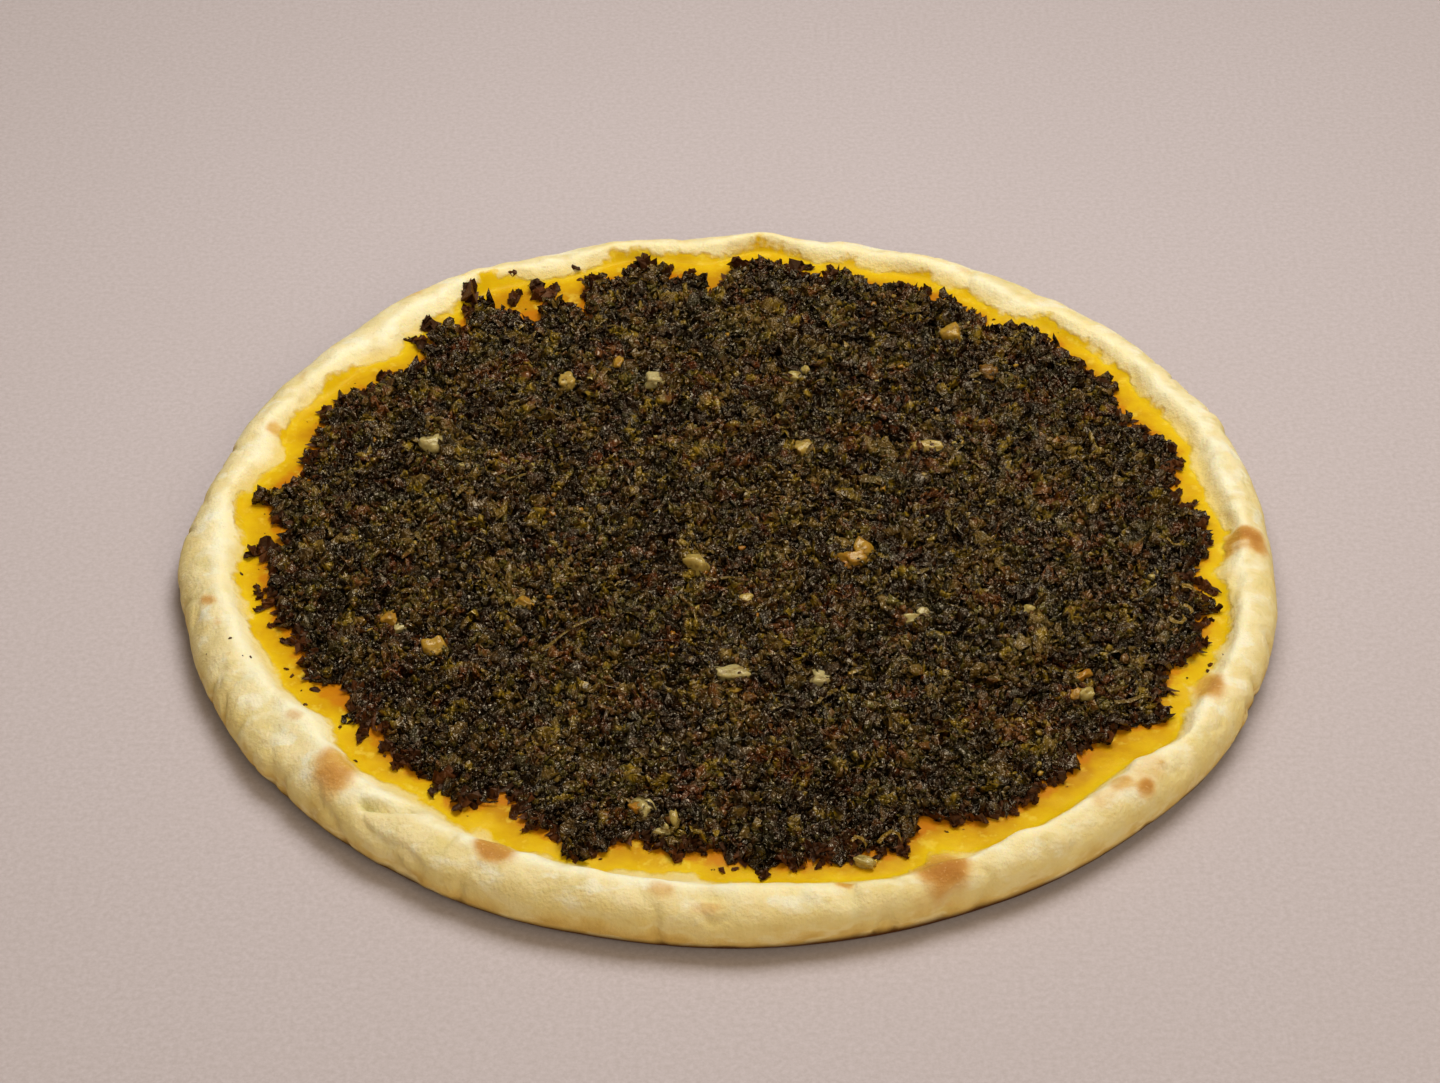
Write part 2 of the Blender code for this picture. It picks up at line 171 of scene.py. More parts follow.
# Tongues and bays of the spinach's edge: angle, half width in degrees, reach in millimetres
SPINACH_SWELLS = (
    (8, 4.5, -5.0), (17, 2, 2.2), (27, 4, -2.6), (45, 2.2, 4.6), (52, 2.5, -3.2), (63, 3, 3.2),
    (75, 2.2, 2.8), (86, 4, 4.4), (92.5, 2, -7.5), (102, 2.5, 4.8), (109, 2.5, 3.4), (112.5, 1.8, -8.0),
    (119, 2, -4.0), (125, 2.4, 7.2), (132, 1.8, 5.0), (140, 4, -5.0), (153, 4, 2.6), (163, 3, -2.2),
    (172, 3.5, 3.8), (181, 2, -2.6), (190, 6, 1.8), (201, 2, -2.8), (218, 8, -3.2), (233, 2, -3.0),
    (237, 1.8, 4.0), (242, 2.4, -5.0), (253, 2.4, 5.0), (259, 2.4, -4.0), (277, 7, 3.0), (287, 2, 3.0),
    (294, 2, -2.5), (302, 4, 2.4), (317, 5, -2.4), (325, 2.2, 5.4), (342, 6, 1.8), (352, 3, -4.2),
)
CORE_STAND = 0.9 * MM           # the core stays this far under the layer's top, as room for the scraps
CORE_EDGE_THICKNESS = 0.5 * MM
CORE_LEAST = 0.15 * MM          # no crease goes deeper than this above the bread's gap
CORE_SUNK = 0.1 * MM            # the core's foot reaches into the bread
CORE_TRIM = 2.7 * MM            # the scraps make the outermost edge
CORE_SPACING = 0.95 * MM
CORE_JITTER = 0.3               # part of the spacing
CORE_MARGIN = 0.6 * CORE_SPACING
EDGE_SLOPE = 4.0 * MM
CRISP_EDGE = 3.0 * MM           # the leaves are brown and crisp this far in from the edge
EDGE_STEPS = 720
RAGGED_EDGE = ((9.0, 3.0), (4.2, 3.6), (1.8, 1.6))   # size and reach of the edge's fraying, in millimetres
# Narrow gaps where oil runs in between the leaves: angle, half width in degrees, reach in millimetres
EDGE_GAPS = (
    (6, 1.2, -1.8), (14, 1.4, -1.6), (62, 1.0, -5.0), (98, 0.9, -5.0), (112.5, 2.6, -3.6), (120, 2.0, -4.6),
    (168, 1.0, -4.0), (191, 1.0, -1.6), (211.5, 1.6, -4.6), (234, 1.0, -1.4), (240.5, 1.2, -2.4),
    (246, 0.9, -1.6), (256.5, 0.8, -1.4), (267.5, 1.0, -2.4), (278.5, 0.8, -1.8), (284, 0.9, -2.0),
    (320, 1.2, -2.4), (336, 0.9, -1.4),
)
CLUMPS = ((5.2, 1.1), (2.6, 0.7))       # size and height of the core's lumps, in millimetres
CREASE = 0.35                   # width of the creases between lumps, as a part of their size
CLUMP_WARP = 0.35
CLUMP_AVERAGE = 0.55            # of a lump's height, taken off so that lumps don't raise the layer

# Scraps of leaf scattered on the core
SCRAP_VARIANTS = 16
PATCH_SIZE = 9.0 * MM           # of the patches that brown and olive scraps keep to
PATCH_EDGE = 0.06
WAVE_SIZE = 0.45                # in units of a scrap's size, as the forms below are
SCRAP_LIFT = 0.6 * MM           # scraps lie up to this far above the core
SCATTER_DENSITY = 4.0e6         # to the square metre, more than the spacing lets in
# Sides and rows of a scrap's mesh, its length, width and thickness, crumple and wave
FLAT_FORM = (8, 5, 1.3, 0.95, 0.16, 0.12, 1.2)
KNOT_FORM = (6, 4, 1.35, 0.9, 0.45, 0.2, 1.0)
FOLD_FORM = (5, 4, 1.4, 0.8, 0.4, 0.16, 1.1)
CRUMB_FORM = (4, 3, 1.3, 0.9, 0.6, 0.24, 0.5)
EDGE_BIT_FORM = (7, 4, 1.5, 0.85, 0.22, 0.2, 1.2)
FLECK_FORM = (7, 4, 1.35, 0.8, 0.16, 0.16, 0.5)
# Each kind's finish, form, spacing, least and greatest size in millimetres, tilt in radians and bare part
SCRAP_KINDS = (
    ("leaf_bits", "dark_leaf", FLAT_FORM, 3.0, 2.2, 4.6, 0.6, 0.0),
    ("dark_knots", "dark_leaf", KNOT_FORM, 2.16, 1.3, 2.8, 3.1, 0.0),
    ("dark_crumbs", "dark_leaf", FOLD_FORM, 1.93, 1.1, 2.3, 3.1, 0.0),
    ("brown_knots", "brown_leaf", KNOT_FORM, 2.0, 1.1, 2.4, 3.1, 0.53),
    ("olive_knots", "olive_leaf", KNOT_FORM, 1.97, 1.1, 2.4, 3.1, 0.51),
    ("olive_crumbs", "olive_leaf", CRUMB_FORM, 1.54, 0.8, 1.6, 3.1, 0.48),
)
SCATTER_INPUTS = (
    ("Surface", "Geometry"), ("Shapes", "Collection"), ("Finish", "Material"), ("Spacing", "Float"),
    ("Smallest", "Float"), ("Largest", "Float"), ("Tilt", "Float"), ("Lift", "Float"), ("Bare", "Float"),
    ("Patch Shift", "Vector"), ("Seed", "Int"),
)

# Each leaf finish: how patchy it is and its colours along the tone, from 0 to 255
LEAF_FINISHES = {
    "packed_spinach": (1.0, (0.1, 24, 8, 0), (0.6, 44, 27, 7), (1.0, 62, 45, 16)),
    "dark_leaf": (1.0, (0.2, 34, 12, 0), (0.45, 65, 41, 4), (0.65, 89, 64, 14), (0.85, 113, 86, 28)),
    "brown_leaf": (0.4, (0.15, 50, 20, 0), (0.5, 88, 49, 8), (0.95, 116, 75, 26)),
    "olive_leaf": (0.4, (0.15, 38, 29, 0), (0.5, 76, 64, 8), (0.95, 106, 92, 28)),
    "stem": (0.2, (0.1, 70, 52, 12), (0.5, 112, 88, 28), (0.95, 172, 130, 26)),
}
# Patches of other leaf, the last near-black ones painted shade as of deep gaps: shift of the noise, size in
# millimetres, its range, strength and colour
LEAF_PATCHES = (
    (0.3, 9, 0.54, 0.64, 0.65, 104, 44, 6),
    (0.6, 8, 0.54, 0.64, 0.50, 50, 52, 24),
    (0.9, 6, 0.55, 0.66, 0.80, 148, 117, 12),
    (1.2, 5, 0.54, 0.64, 0.90, 17, 5, 0),
)

# Leaf tips that stand out over the oil: where they start and end, and their width, in millimetres
LEAF_TIPS = (
    (108.0, 14.8, 110.3, 19.9, 1.6), (109.7, 12.0, 114.1, 14.8, 2.2), (112.6, 3.5, 114.8, 8.8, 2.6),
    (108.6, -14.5, 115.4, -20.8, 2.6), (110.2, -31.4, 112.7, -28.9, 1.6), (106.9, -40.4, 109.8, -38.1, 2.0),
    (-109.2, -4.0, -114.2, -6.1, 3.0), (-111.4, 16.5, -114.3, 17.9, 2.4),
    (-108.9, -21.6, -110.6, -16.4, 1.4), (-106.0, -23.0, -109.8, -26.7, 2.0),
    (-101.3, -30.6, -106.4, -31.8, 1.8), (-99.4, -38.3, -103.0, -36.5, 2.0),
    (-17.4, -102.6, -16.9, -106.9, 1.8), (-9.3, -104.8, -10.9, -110.3, 2.6),
    (12.0, -108.0, 14.9, -113.7, 1.4), (22.6, -107.0, 18.7, -112.8, 1.5), (25.5, -105.0, 26.9, -111.0, 1.7),
    (26.9, -106.4, 28.4, -110.3, 1.2), (34.0, -104.4, 32.0, -110.3, 2.0), (38.3, -104.2, 38.1, -109.7, 1.4),
    (59.0, -93.4, 63.6, -95.5, 1.5), (-80.9, -68.0, -82.4, -72.7, 2.0), (-70.9, -77.2, -73.6, -81.2, 2.6),
    (-62.8, -83.5, -64.5, -89.3, 3.0), (-55.6, -89.9, -60.0, -94.7, 3.0), (-45.1, -93.4, -47.2, -96.2, 2.0),
    (-40.0, -98.5, -44.9, -101.0, 2.2), (-67.0, 98.5, -68.4, 101.9, 5.0), (-75.3, 86.8, -76.9, 90.9, 4.0),
    (-77.3, 79.8, -81.3, 82.8, 3.2), (-48.5, 101.2, -50.6, 108.0, 4.2), (-45.8, 100.3, -44.3, 107.4, 2.6),
    (-55.6, 98.0, -53.6, 104.3, 2.4), (-22.1, 113.1, -21.1, 117.8, 4.6), (-16.3, 111.3, -14.2, 116.2, 2.4),
    (3.2, 114.0, 2.4, 117.6, 4.4), (18.4, 113.6, 22.9, 115.4, 3.0), (27.7, 108.6, 27.2, 114.6, 3.0),
    (-34.0, 106.3, -37.1, 110.2, 2.2),
)
TIP_THICKNESS = 0.3 * MM
TIP_LIFT = 0.4 * MM
TIP_RISE = 0.3 * MM             # their far ends stand up this much more
STRIP_CURL = 3                  # a strip's sides wander this many thicknesses up and down
SPIKE_COUNT = 210               # smaller tips all round
SPIKE_LENGTH = (2.0, 5.6)
SPIKE_WIDTH = (0.9, 2.2)
SPIKE_TURN = 0.9                # how far they turn from straight out, in radians
EDGE_BITS = 700                 # crumpled bits round the edge
EDGE_BIT_SIZE = (0.8, 2.6)
EDGE_BIT_SHAPES = 12

# Loose flecks of leaf on the oil and the rim: place and size in millimetres
LOOSE_FLECKS = (
    (-93.2, -54.0, 2.2), (-95.1, -59.7, 1.3), (-100.6, -46.7, 1.2), (-99.0, -49.1, 1.2),
    (-86.6, -66.8, 1.2), (-82.2, -78.4, 1.0), (-114.3, -12.8, 0.9), (-55.9, 109.5, 2.0),
    (-39.6, 112.8, 2.2), (109.5, -47.6, 1.1), (110.4, -45.2, 1.4), (113.6, -43.0, 0.7),
    (-108.5, -46.0, 0.7), (-113.6, -40.5, 0.8), (-75.9, -76.4, 1.1), (-1.2, -112.7, 1.8),
    (1.6, -112.4, 1.5), (-110.2, -46.3, 0.4), (-119.0, -42.8, 0.4), (-38.2, 109.6, 1.6),
)
STRAY_FLECKS = 26               # smaller ones strewn round the spinach
STRAY_REACH = 2.6               # as far out from it as this, in millimetres
FLECK_SHAPES = 6

# Long shreds of leaf and stem that lie in the topping
SHRED_COUNT = 320
SHRED_LENGTH = (3.0, 9.0)
SHRED_WIDTH = (0.6, 1.5)
STEM_COUNT = 130
STREW_INSET = 5 * MM            # shreds and crumbs start at least this far in from the edge
# Those that show: tone, width and the points they pass, in millimetres
LONG_STEMS = (
    (0.8, 0.9, (-42.5, -44.6), (-40.6, -42.4), (-38.0, -38.6), (-35.0, -35.6), (-32.2, -33.4),
     (-29.6, -32.0)),
    (0.8, 0.9, (-5.0, -18.6), (-2.6, -18.4), (0.0, -17.7), (2.4, -17.6), (4.2, -18.4)),
    (0.8, 0.9, (-14.2, -103.2), (-12.4, -104.0), (-10.8, -102.8), (-10.4, -100.4), (-11.6, -98.2)),
    (1.6, 1.1, (106.0, -20.8), (107.8, -20.8), (109.3, -21.8), (110.1, -23.6), (109.6, -25.2)),
    (1.4, 1.3, (101.8, -32.6), (103.0, -34.0), (104.6, -34.0), (105.6, -32.6), (105.2, -31.0)),
    (1.5, 1.2, (106.0, -27.4), (107.3, -28.4), (107.6, -30.0), (106.8, -31.4)),
    (1.3, 1.0, (104.4, -3.4), (105.6, -4.8), (107.2, -4.8), (108.2, -3.6)),
    (0.9, 1.3, (86.8, -62.6), (90.0, -61.6), (93.6, -60.2), (97.0, -59.4)),
    (1.5, 1.1, (32.4, -106.2), (33.6, -104.8), (35.2, -104.4), (36.8, -105.0), (37.6, -106.4)),
    (1.5, 1.0, (26.6, -106.8), (27.6, -105.4), (29.0, -105.4), (29.8, -106.6), (29.6, -108.0)),
)
STEM_LIFT = 2.0 * MM
STEM_THICKNESS = 0.6 * MM

# Fried onion: place, length, width, turn in degrees, bend and tone from pale to brown; sizes in millimetres
ONION_PIECES = (
    (-72.5, 34.7, 4.9, 5.0, 10, 0.0, 0.15), (-18.4, 60.9, 4.6, 4.2, 0, 0.0, 0.0),
    (-15.4, 61.2, 2.6, 1.2, -10, 0.0, 0.2), (-40.0, 61.3, 3.6, 4.6, 0, 0.0, 0.44),
    (17.0, 62.9, 4.6, 3.2, -15, 0.0, 0.25), (20.0, 65.4, 2.0, 2.4, 20, 0.0, 0.3),
    (19.2, 33.1, 5.2, 5.0, 15, 0.0, 0.42), (49.4, 34.7, 8.6, 3.0, -6, -0.35, 0.4),
    (-7.5, -12.1, 6.4, 6.6, 0, 0.0, 0.36), (1.1, -51.2, 7.3, 4.8, -12, 0.0, 0.12),
    (0.2, -56.2, 6.4, 1.5, 10, 0.5, 0.55), (21.2, -53.2, 5.0, 4.2, 0, 0.0, 0.05),
    (45.6, -30.0, 3.2, 3.0, 40, 0.0, 0.0), (42.8, -32.0, 4.6, 2.4, 5, 0.0, 0.2),
    (70.0, -28.4, 2.6, 2.0, 0, 0.0, 0.3), (30.2, -9.6, 6.8, 4.2, 20, 0.3, 0.62),
    (32.4, -6.6, 5.2, 5.2, 60, 0.0, 0.58), (28.6, -11.6, 3.0, 2.6, 0, 0.0, 0.8),
    (-78.0, -32.4, 3.4, 3.4, 0, 0.0, 0.62), (-75.6, -34.8, 3.2, 2.0, 15, 0.0, 0.1),
    (-66.9, -41.3, 4.6, 4.6, 10, 0.0, 0.56), (-47.1, -26.5, 4.4, 2.8, -35, 0.0, 0.6),
    (-18.0, -95.1, 4.0, 4.8, 30, 0.0, 0.2), (-19.8, -95.8, 2.4, 3.4, 40, 0.0, 0.7),
    (80.9, -58.3, 3.4, 3.4, 0, 0.0, 0.3), (78.4, -58.5, 2.6, 2.8, 0, 0.0, 0.66),
    (80.9, -51.4, 4.0, 2.2, 35, 0.0, 0.7), (57.6, 81.7, 4.6, 4.6, 0, 0.0, 0.55),
    (58.8, 79.9, 3.0, 2.2, 20, 0.0, 0.1), (80.2, 36.3, 4.2, 1.4, 30, 0.5, 0.9),
    (-27.6, 69.1, 2.2, 3.6, 0, 0.0, 0.6), (29.4, -111.0, 4.4, 2.6, -12, 0.0, 0.3),
    (4.6, -24.0, 3.0, 2.6, 20, 0.0, 0.4), (-11.4, -100.0, 1.8, 4.6, 15, 0.0, 0.35),
    (-14.0, -103.4, 4.2, 1.4, 0, 0.3, 0.15), (65.7, 65.2, 4.2, 4.0, 0, 0.0, 0.95),
)
ONION_THICKNESS = 0.8           # as a part of a piece's width
ONION_LEAST = 0.8               # and never less than this, in millimetres
ONION_LIFT = 0.9 * MM
ONION_BARE = 0.66               # part of a piece's size that no leaf lies on
ONION_CRUMBS = 75               # small bits among the leaves
ONION_CRUMB_SIZE = (0.9, 1.9)

# Stage
CAMERA_LENS = 90.0
CAMERA_PITCH = math.radians(38.65)      # above the horizon
CAMERA_DISTANCE = 873.0 * MM
CAMERA_TARGET = Vector((-1.6, 12.0, 0.0)) * MM
FLOOR_SIZE = 8.0
# Soft lights: place and size in metres, power and colour
LIGHTS = (
    ("main_light", (0.55, 0.85, 1.9), 1.0, 19.5, (0.97, 0.985, 1.0)),
    ("top_light", (0.0, 0.1, 0.44), 0.25, 0.82, (0.98, 0.99, 1.0)),
    ("front_light", (0.6, -1.7, 1.2), 1.6, 16.5, (1.0, 0.9, 0.72)),
)

SEED = 20


def smooth(value):
    value = min(max(value, 0.0), 1.0)
    return value * value * (3.0 - 2.0 * value)


def swell(angle, swells):
    """Sum of the round swells at an angle in radians, in metres."""
    total = 0.0
    for centre, half_width, reach in swells:
        turn = (math.degrees(angle) - centre + 180.0) % 360.0 - 180.0
        total += reach * MM * math.exp(-((turn / half_width) ** 2))
    return total


def edge_radius(angle, radius, shift, swells):
    """Distance from the origin to a swollen circle whose centre is moved a little."""
    return radius + shift.x * math.cos(angle) + shift.y * math.sin(angle) + swell(angle, swells)


def outline_radius(angle):
    return BREAD_RADIUS + swell(angle, OUTLINE_SWELLS)


def well_radius(angle):
    return edge_radius(angle, WELL_RADIUS, WELL_SHIFT, WELL_SWELLS)


def spinach_radius(angle):
    radius = edge_radius(angle, SPINACH_RADIUS, SPINACH_SHIFT, SPINACH_SWELLS)
    return min(radius, well_radius(angle) - EDGE_CLEARANCE)


def outline_middle():
    """Middle of the outline's box, which the CAD part puts over the origin."""
    angles = [math.radians(degree) for degree in range(360)]
    across = [outline_radius(angle) * math.cos(angle) for angle in angles]
    back = [outline_radius(angle) * math.sin(angle) for angle in angles]
    return Vector(((min(across) + max(across)) / 2, (min(back) + max(back)) / 2, 0.0))


MIDDLE = outline_middle()


def polar(angle, radius, height):
    """A point of the turned form, in the frame."""
    return Vector((radius * math.cos(angle), radius * math.sin(angle), height)) - MIDDLE


def direction(angle):
    return Vector((math.cos(angle), math.sin(angle), 0.0))


def layered_noise(place, layers):
    """Sum of noises; each layer has a size and a depth in millimetres."""
    return sum(depth * MM * noise.noise(place / (size * MM)) for size, depth in layers)


# Node trees

class Field:
    """A value that varies over a surface; sums and products of fields are Math nodes."""

    def __init__(self, socket):
        self.socket = socket
        self.tree = socket.id_data

    def __add__(self, other):
        return self.joined("ADD", self, other)

    def __sub__(self, other):
        return self.joined("SUBTRACT", self, other)

    def __rsub__(self, other):
        return self.joined("SUBTRACT", other, self)

    def __mul__(self, other):
        return self.joined("MULTIPLY", self, other)

    def __abs__(self):
        return self.joined("ABSOLUTE", self, 0.0)

    def joined(self, operation, first, second):
        return made_by(self.tree, "ShaderNodeMath", {0: first, 1: second}, operation=operation)


def connect(tree, value, socket):
    """Link a field to an input, or give the input a plain value."""
    if isinstance(value, Field):
        tree.links.new(value.socket, socket)
    else:
        socket.default_value = value


def made_by(tree, kind, inputs=None, output=0, **settings):
    """What a new node gives out, with its settings and the values or fields of its inputs."""
    node = tree.nodes.new(kind)
    for name, value in settings.items():
        setattr(node, name, value)
    for name, value in (inputs or {}).items():
        connect(tree, value, node.inputs[name])
    return Field(node.outputs[output])


def srgb(red, green, blue):
    """Linear colour from the 0 to 255 values of a colour picker."""
    def linear(value):
        part = value / 255.0
        return part / 12.92 if part <= 0.04045 else ((part + 0.055) / 1.055) ** 2.4
    return (linear(red), linear(green), linear(blue), 1.0)


def shifted(place, distance):
    """The same place moved along, so that one noise doesn't repeat another."""
    return made_by(place.tree, "ShaderNodeVectorMath", {0: place, 1: (distance, 0.0, 0.0)})


def noise_field(place, size, detail=2.0, roughness=0.5, distortion=0.0):
    """Noise from 0 to 1 with lumps of a size in metres."""
    return made_by(place.tree, "ShaderNodeTexNoise", {
        "Vector": place, "Scale": 1.0 / size, "Detail": detail, "Roughness": roughness,
        "Distortion": distortion,
    })


def between(value, low, high):
    """0 below low, 1 above high, and a smooth rise between them."""
    return made_by(value.tree, "ShaderNodeMapRange", {"Value": value, "From Min": low, "From Max": high},
                   interpolation_type="SMOOTHSTEP")


def blend(factor, first, second):
    """Colour between two colours."""
    return made_by(factor.tree, "ShaderNodeMix", {0: factor, 6: first, 7: second}, 2, data_type="RGBA")


def coated(colour, *coats):
    """The colour under coats; each has a field of where it lies, a strength and a colour."""
    for where, strength, *coat in coats:
        colour = blend(where * strength, colour, srgb(*coat))
    return colour


def colour_ramp(value, *stops):
    """Colour along a value; each stop is a place and a colour."""
    node = value.tree.nodes.new("ShaderNodeValToRGB")
    connect(value.tree, value, node.inputs["Fac"])
    elements = node.color_ramp.elements
    while len(elements) < len(stops):
        elements.new(0.5)
    for element, (place, *colour) in zip(elements, stops):
        element.position = place
        element.color = srgb(*colour)
    return Field(node.outputs["Color"])


def attribute(tree, name):
    return made_by(tree, "ShaderNodeAttribute", output="Fac", attribute_name=name)


def height_of(place):
    return made_by(place.tree, "ShaderNodeSeparateXYZ", {0: place}, "Z")


def bump(height, depth, strength):
    return made_by(height.tree, "ShaderNodeBump", {"Height": height, "Distance": depth, "Strength": strength})


def new_material(name):
    """A material, its tree and the place on the object."""
    material = bpy.data.materials.new(name)
    material.use_nodes = True
    tree = material.node_tree
    return material, tree, made_by(tree, "ShaderNodeTexCoord", output="Object")


def finished(material, inputs):
    """The material with values and fields given to its shader."""
    tree = material.node_tree
    for name, value in inputs.items():
        connect(tree, value, tree.nodes["Principled BSDF"].inputs[name])
    return material


# Materials

def baked_dough():
    """Cream dough with toasted spots and a golden underside, soaked with yellow oil round the spinach."""
    material, tree, place = new_material("baked_dough")
    wide = noise_field(place, 16 * MM, 3.0)
    blotches = noise_field(shifted(place, 0.5), 8 * MM, 3.0, 0.55)
    fine = noise_field(place, 3.5 * MM, 3.0, 0.6)
    pores = noise_field(place, 0.9 * MM, 3.0, 0.6)
    height = height_of(place)
    uneven_height = height + (blotches - 0.5) * (12 * MM)
    stretched = made_by(tree, "ShaderNodeVectorMath", {0: place, 1: (0.5, 1.0, 1.4)}, operation="MULTIPLY")
    pale = between(noise_field(shifted(stretched, 0.8), 5 * MM, 3.0, 0.55), 0.5, 0.62)
    dull = between(noise_field(shifted(stretched, 1.1), 5 * MM, 3.0, 0.6), 0.54, 0.66)

    cream = coated(
        colour_ramp(wide, (0.25, 231, 211, 150), (0.5, 243, 225, 172), (0.75, 248, 237, 195)),
        (between(fine, 0.60, 0.8), 1.0, 226, 200, 132),
        (pale, 0.7, 248, 241, 213),
        (dull, 0.45, 220, 202, 132),
        # painted shade: the rim's dents are made duller and greener
        (attribute(tree, "dent"), 0.75, 190, 184, 116),
        # painted light: the rim's inner slope is made paler so that its shade shows less
        (attribute(tree, "inner_slope"), 0.8, 253, 246, 214),
        (between(uneven_height, 13 * MM, 9 * MM), 0.8, 230, 207, 138),
    )
    golden = between(uneven_height, 11 * MM, 3 * MM)
    baked = coated(
        colour_ramp(golden, (0.0, 234, 211, 138), (0.45, 230, 202, 122), (0.8, 224, 190, 108),
                    (1.0, 214, 177, 96)),
        (pale, 0.45, 244, 230, 178),
        (dull, 0.4, 208, 166, 88),
    )
    # The foot is dark brown: partly the toasted base, partly painted contact shade next to the floor.
    dough = coated(blend(golden, cream, baked), (between(height, 4.4 * MM, 2.0 * MM), 1.0, 80, 42, 8))

    toast = attribute(tree, "toast") + (fine - 0.5) * 0.35
    tan = coated(
        colour_ramp(toast, (0.2, 226, 180, 112), (0.6, 208, 154, 80), (1.0, 184, 124, 56)),
        # painted highlights: light specks on the toast
        (between(pores, 0.58, 0.7), 0.5, 232, 190, 128),
    )
    dough = blend(between(toast, 0.05, 0.75), dough, tan)

    oil_depth = attribute(tree, "oil_depth")
    oil = oil_depth + (fine - 0.5) * 3.4
    wisps = (blotches - 0.5) * 7.0
    soaked = between(oil + wisps, -1.1, 0.5)
    gap = attribute(tree, "spinach_gap") + (fine - 0.5) * 7.0
    yellow = coated(
        colour_ramp(oil * 0.07 + blotches * 0.9, (0.2, 238, 208, 42), (0.45, 229, 189, 13),
                    (0.7, 217, 169, 7), (1.0, 194, 135, 4)),
        (between(gap, 0.3, -2.0), 0.7, 198, 112, 8),
        (between(fine, 0.56, 0.72), 0.4, 248, 224, 84),
    )
    dough = coated(dough, (between(oil_depth + wisps * 1.6, -6.0, -0.5), 0.32, 242, 204, 60))

    dry = 1.0 - soaked * 0.85
    return finished(material, {
        "Base Color": blend(soaked, dough, yellow),
        "Roughness": made_by(tree, "ShaderNodeMapRange", {"Value": dry, "To Min": 0.3, "To Max": 0.65}),
        "Specular IOR Level": 0.14,
        "Specular Tint": (1.0, 0.86, 0.4, 1.0),
        "Subsurface Weight": 0.3,
        "Subsurface Radius": (1.0, 0.7, 0.3),
        "Subsurface Scale": 1.5 * MM,
        "Normal": bump((pores + fine * 2.0) * dry, 0.35 * MM, 0.8),
    })


def creases(place, size):
    """Sharp ridges that wander, from 0 between them to 1 along them."""
    return 1.0 - abs(noise_field(place, size, 2.0, 0.55, 0.8) - 0.5) * 5.0


def wilted_leaf(name):
    """Oily baked spinach; each scrap and each clump has its own tone, patches differ, and painted shade
    darkens low leaves, creases and some patches.
    """
    patchy, *stops = LEAF_FINISHES[name]
    material, tree, place = new_material(name)
    grain = noise_field(place, 1.3 * MM, 3.0, 0.65)
    tone = attribute(tree, "tone") * 0.3 + attribute(tree, "clump") * 0.45 + grain * 0.35
    colour = colour_ramp(tone, *stops)
    for distance, size, low, high, strength, *patch in LEAF_PATCHES:
        where = between(noise_field(shifted(place, distance), size * MM, 3.0, 0.6), low, high)
        colour = coated(colour, (where, strength * patchy, *patch))
    # painted shade: leaves that lie low in the layer are made near black
    sunk_shade = between(height_of(place), WELL_HEIGHT + 2.7 * MM, WELL_HEIGHT + 0.8 * MM)
    return finished(material, {
        "Base Color": coated(colour, (attribute(tree, "edge"), 0.8, 52, 24, 8), (sunk_shade, 0.9, 15, 3, 0)),
        "Roughness": 0.25,
        "Specular IOR Level": 0.86,
        "Specular Tint": (1.0, 0.81, 0.53, 1.0),
        "Normal": bump(creases(place, 2.2 * MM), 0.5 * MM, 0.9),
    })


def crisp_leaf():
    """Dry brown tips at the topping's edge."""
    material, tree, place = new_material("crisp_leaf")
    grain = noise_field(place, 0.9 * MM, 2.0, 0.6)
    tone = attribute(tree, "tone") * 0.6 + grain * 0.5
    return finished(material, {
        "Base Color": colour_ramp(tone, (0.15, 34, 14, 5), (0.5, 58, 26, 8), (0.95, 94, 48, 14)),
        "Roughness": 0.5,
        "Specular IOR Level": 0.35,
        "Specular Tint": (1.0, 0.7, 0.4, 1.0),
        "Normal": bump(grain, 0.3 * MM, 0.8),
    })


def fried_onion():
    """Translucent cooked onion, from pale to yellow and brown by tone."""
    material, tree, place = new_material("fried_onion")
    grain = noise_field(place, 1.6 * MM, 3.0, 0.55)
    stained = between(noise_field(shifted(place, 0.7), 2.2 * MM, 3.0, 0.6), 0.5, 0.64)
    tone = attribute(tree, "tone") + (grain - 0.5) * 0.35
    colour = colour_ramp(tone, (0.0, 180, 164, 112), (0.3, 166, 145, 78), (0.55, 170, 130, 38),
                         (0.75, 156, 98, 14), (1.0, 88, 58, 16))
    return finished(material, {
        "Base Color": coated(colour, (stained, 0.6, 116, 86, 36)),
        "Roughness": 0.25,
        "Specular Tint": (1.0, 0.9, 0.62, 1.0),
        "Subsurface Weight": 0.4,
        "Subsurface Radius": (1.0, 0.75, 0.35),
        "Subsurface Scale": 1.2 * MM,
        "Normal": bump(grain, 0.3 * MM, 0.8),
    })


def pale_paper():
    """The floor: a matt grey-mauve sheet with a faint grain."""
    material, tree, place = new_material("pale_paper")
    grain = between(noise_field(place, 1.3 * MM, 4.0, 0.75), 0.2, 0.8)
    colour = blend(grain, srgb(184, 171, 170), srgb(205, 193, 195))
    colour = coated(colour, (noise_field(place, 60 * MM), 0.25, 188, 174, 172))
    return finished(material, {"Base Color": colour, "Roughness": 0.85})


# Meshes

def mesh_object(name, mesh, material):
    obj = bpy.data.objects.new(name, mesh)
    bpy.context.scene.collection.objects.link(obj)
    mesh.materials.clear()
    mesh.materials.append(material)
    return obj


def finished_mesh(name, builder):
    """A mesh of what was built, turned outwards, with its faces shuffled in the same way in each run."""
    bmesh.ops.recalc_face_normals(builder, faces=builder.faces)
    builder.verts.index_update()
    points = [vertex.co.copy() for vertex in builder.verts]
    faces = []
    for face in builder.faces:
        corners = [vertex.index for vertex in face.verts]
        first = corners.index(min(corners))
        faces.append(tuple(corners[first:] + corners[:first]))
    builder.free()
    faces.sort()
    random.Random(SEED).shuffle(faces)
    mesh = bpy.data.meshes.new(name)
    mesh.from_pydata(points, [], faces)
    return mesh


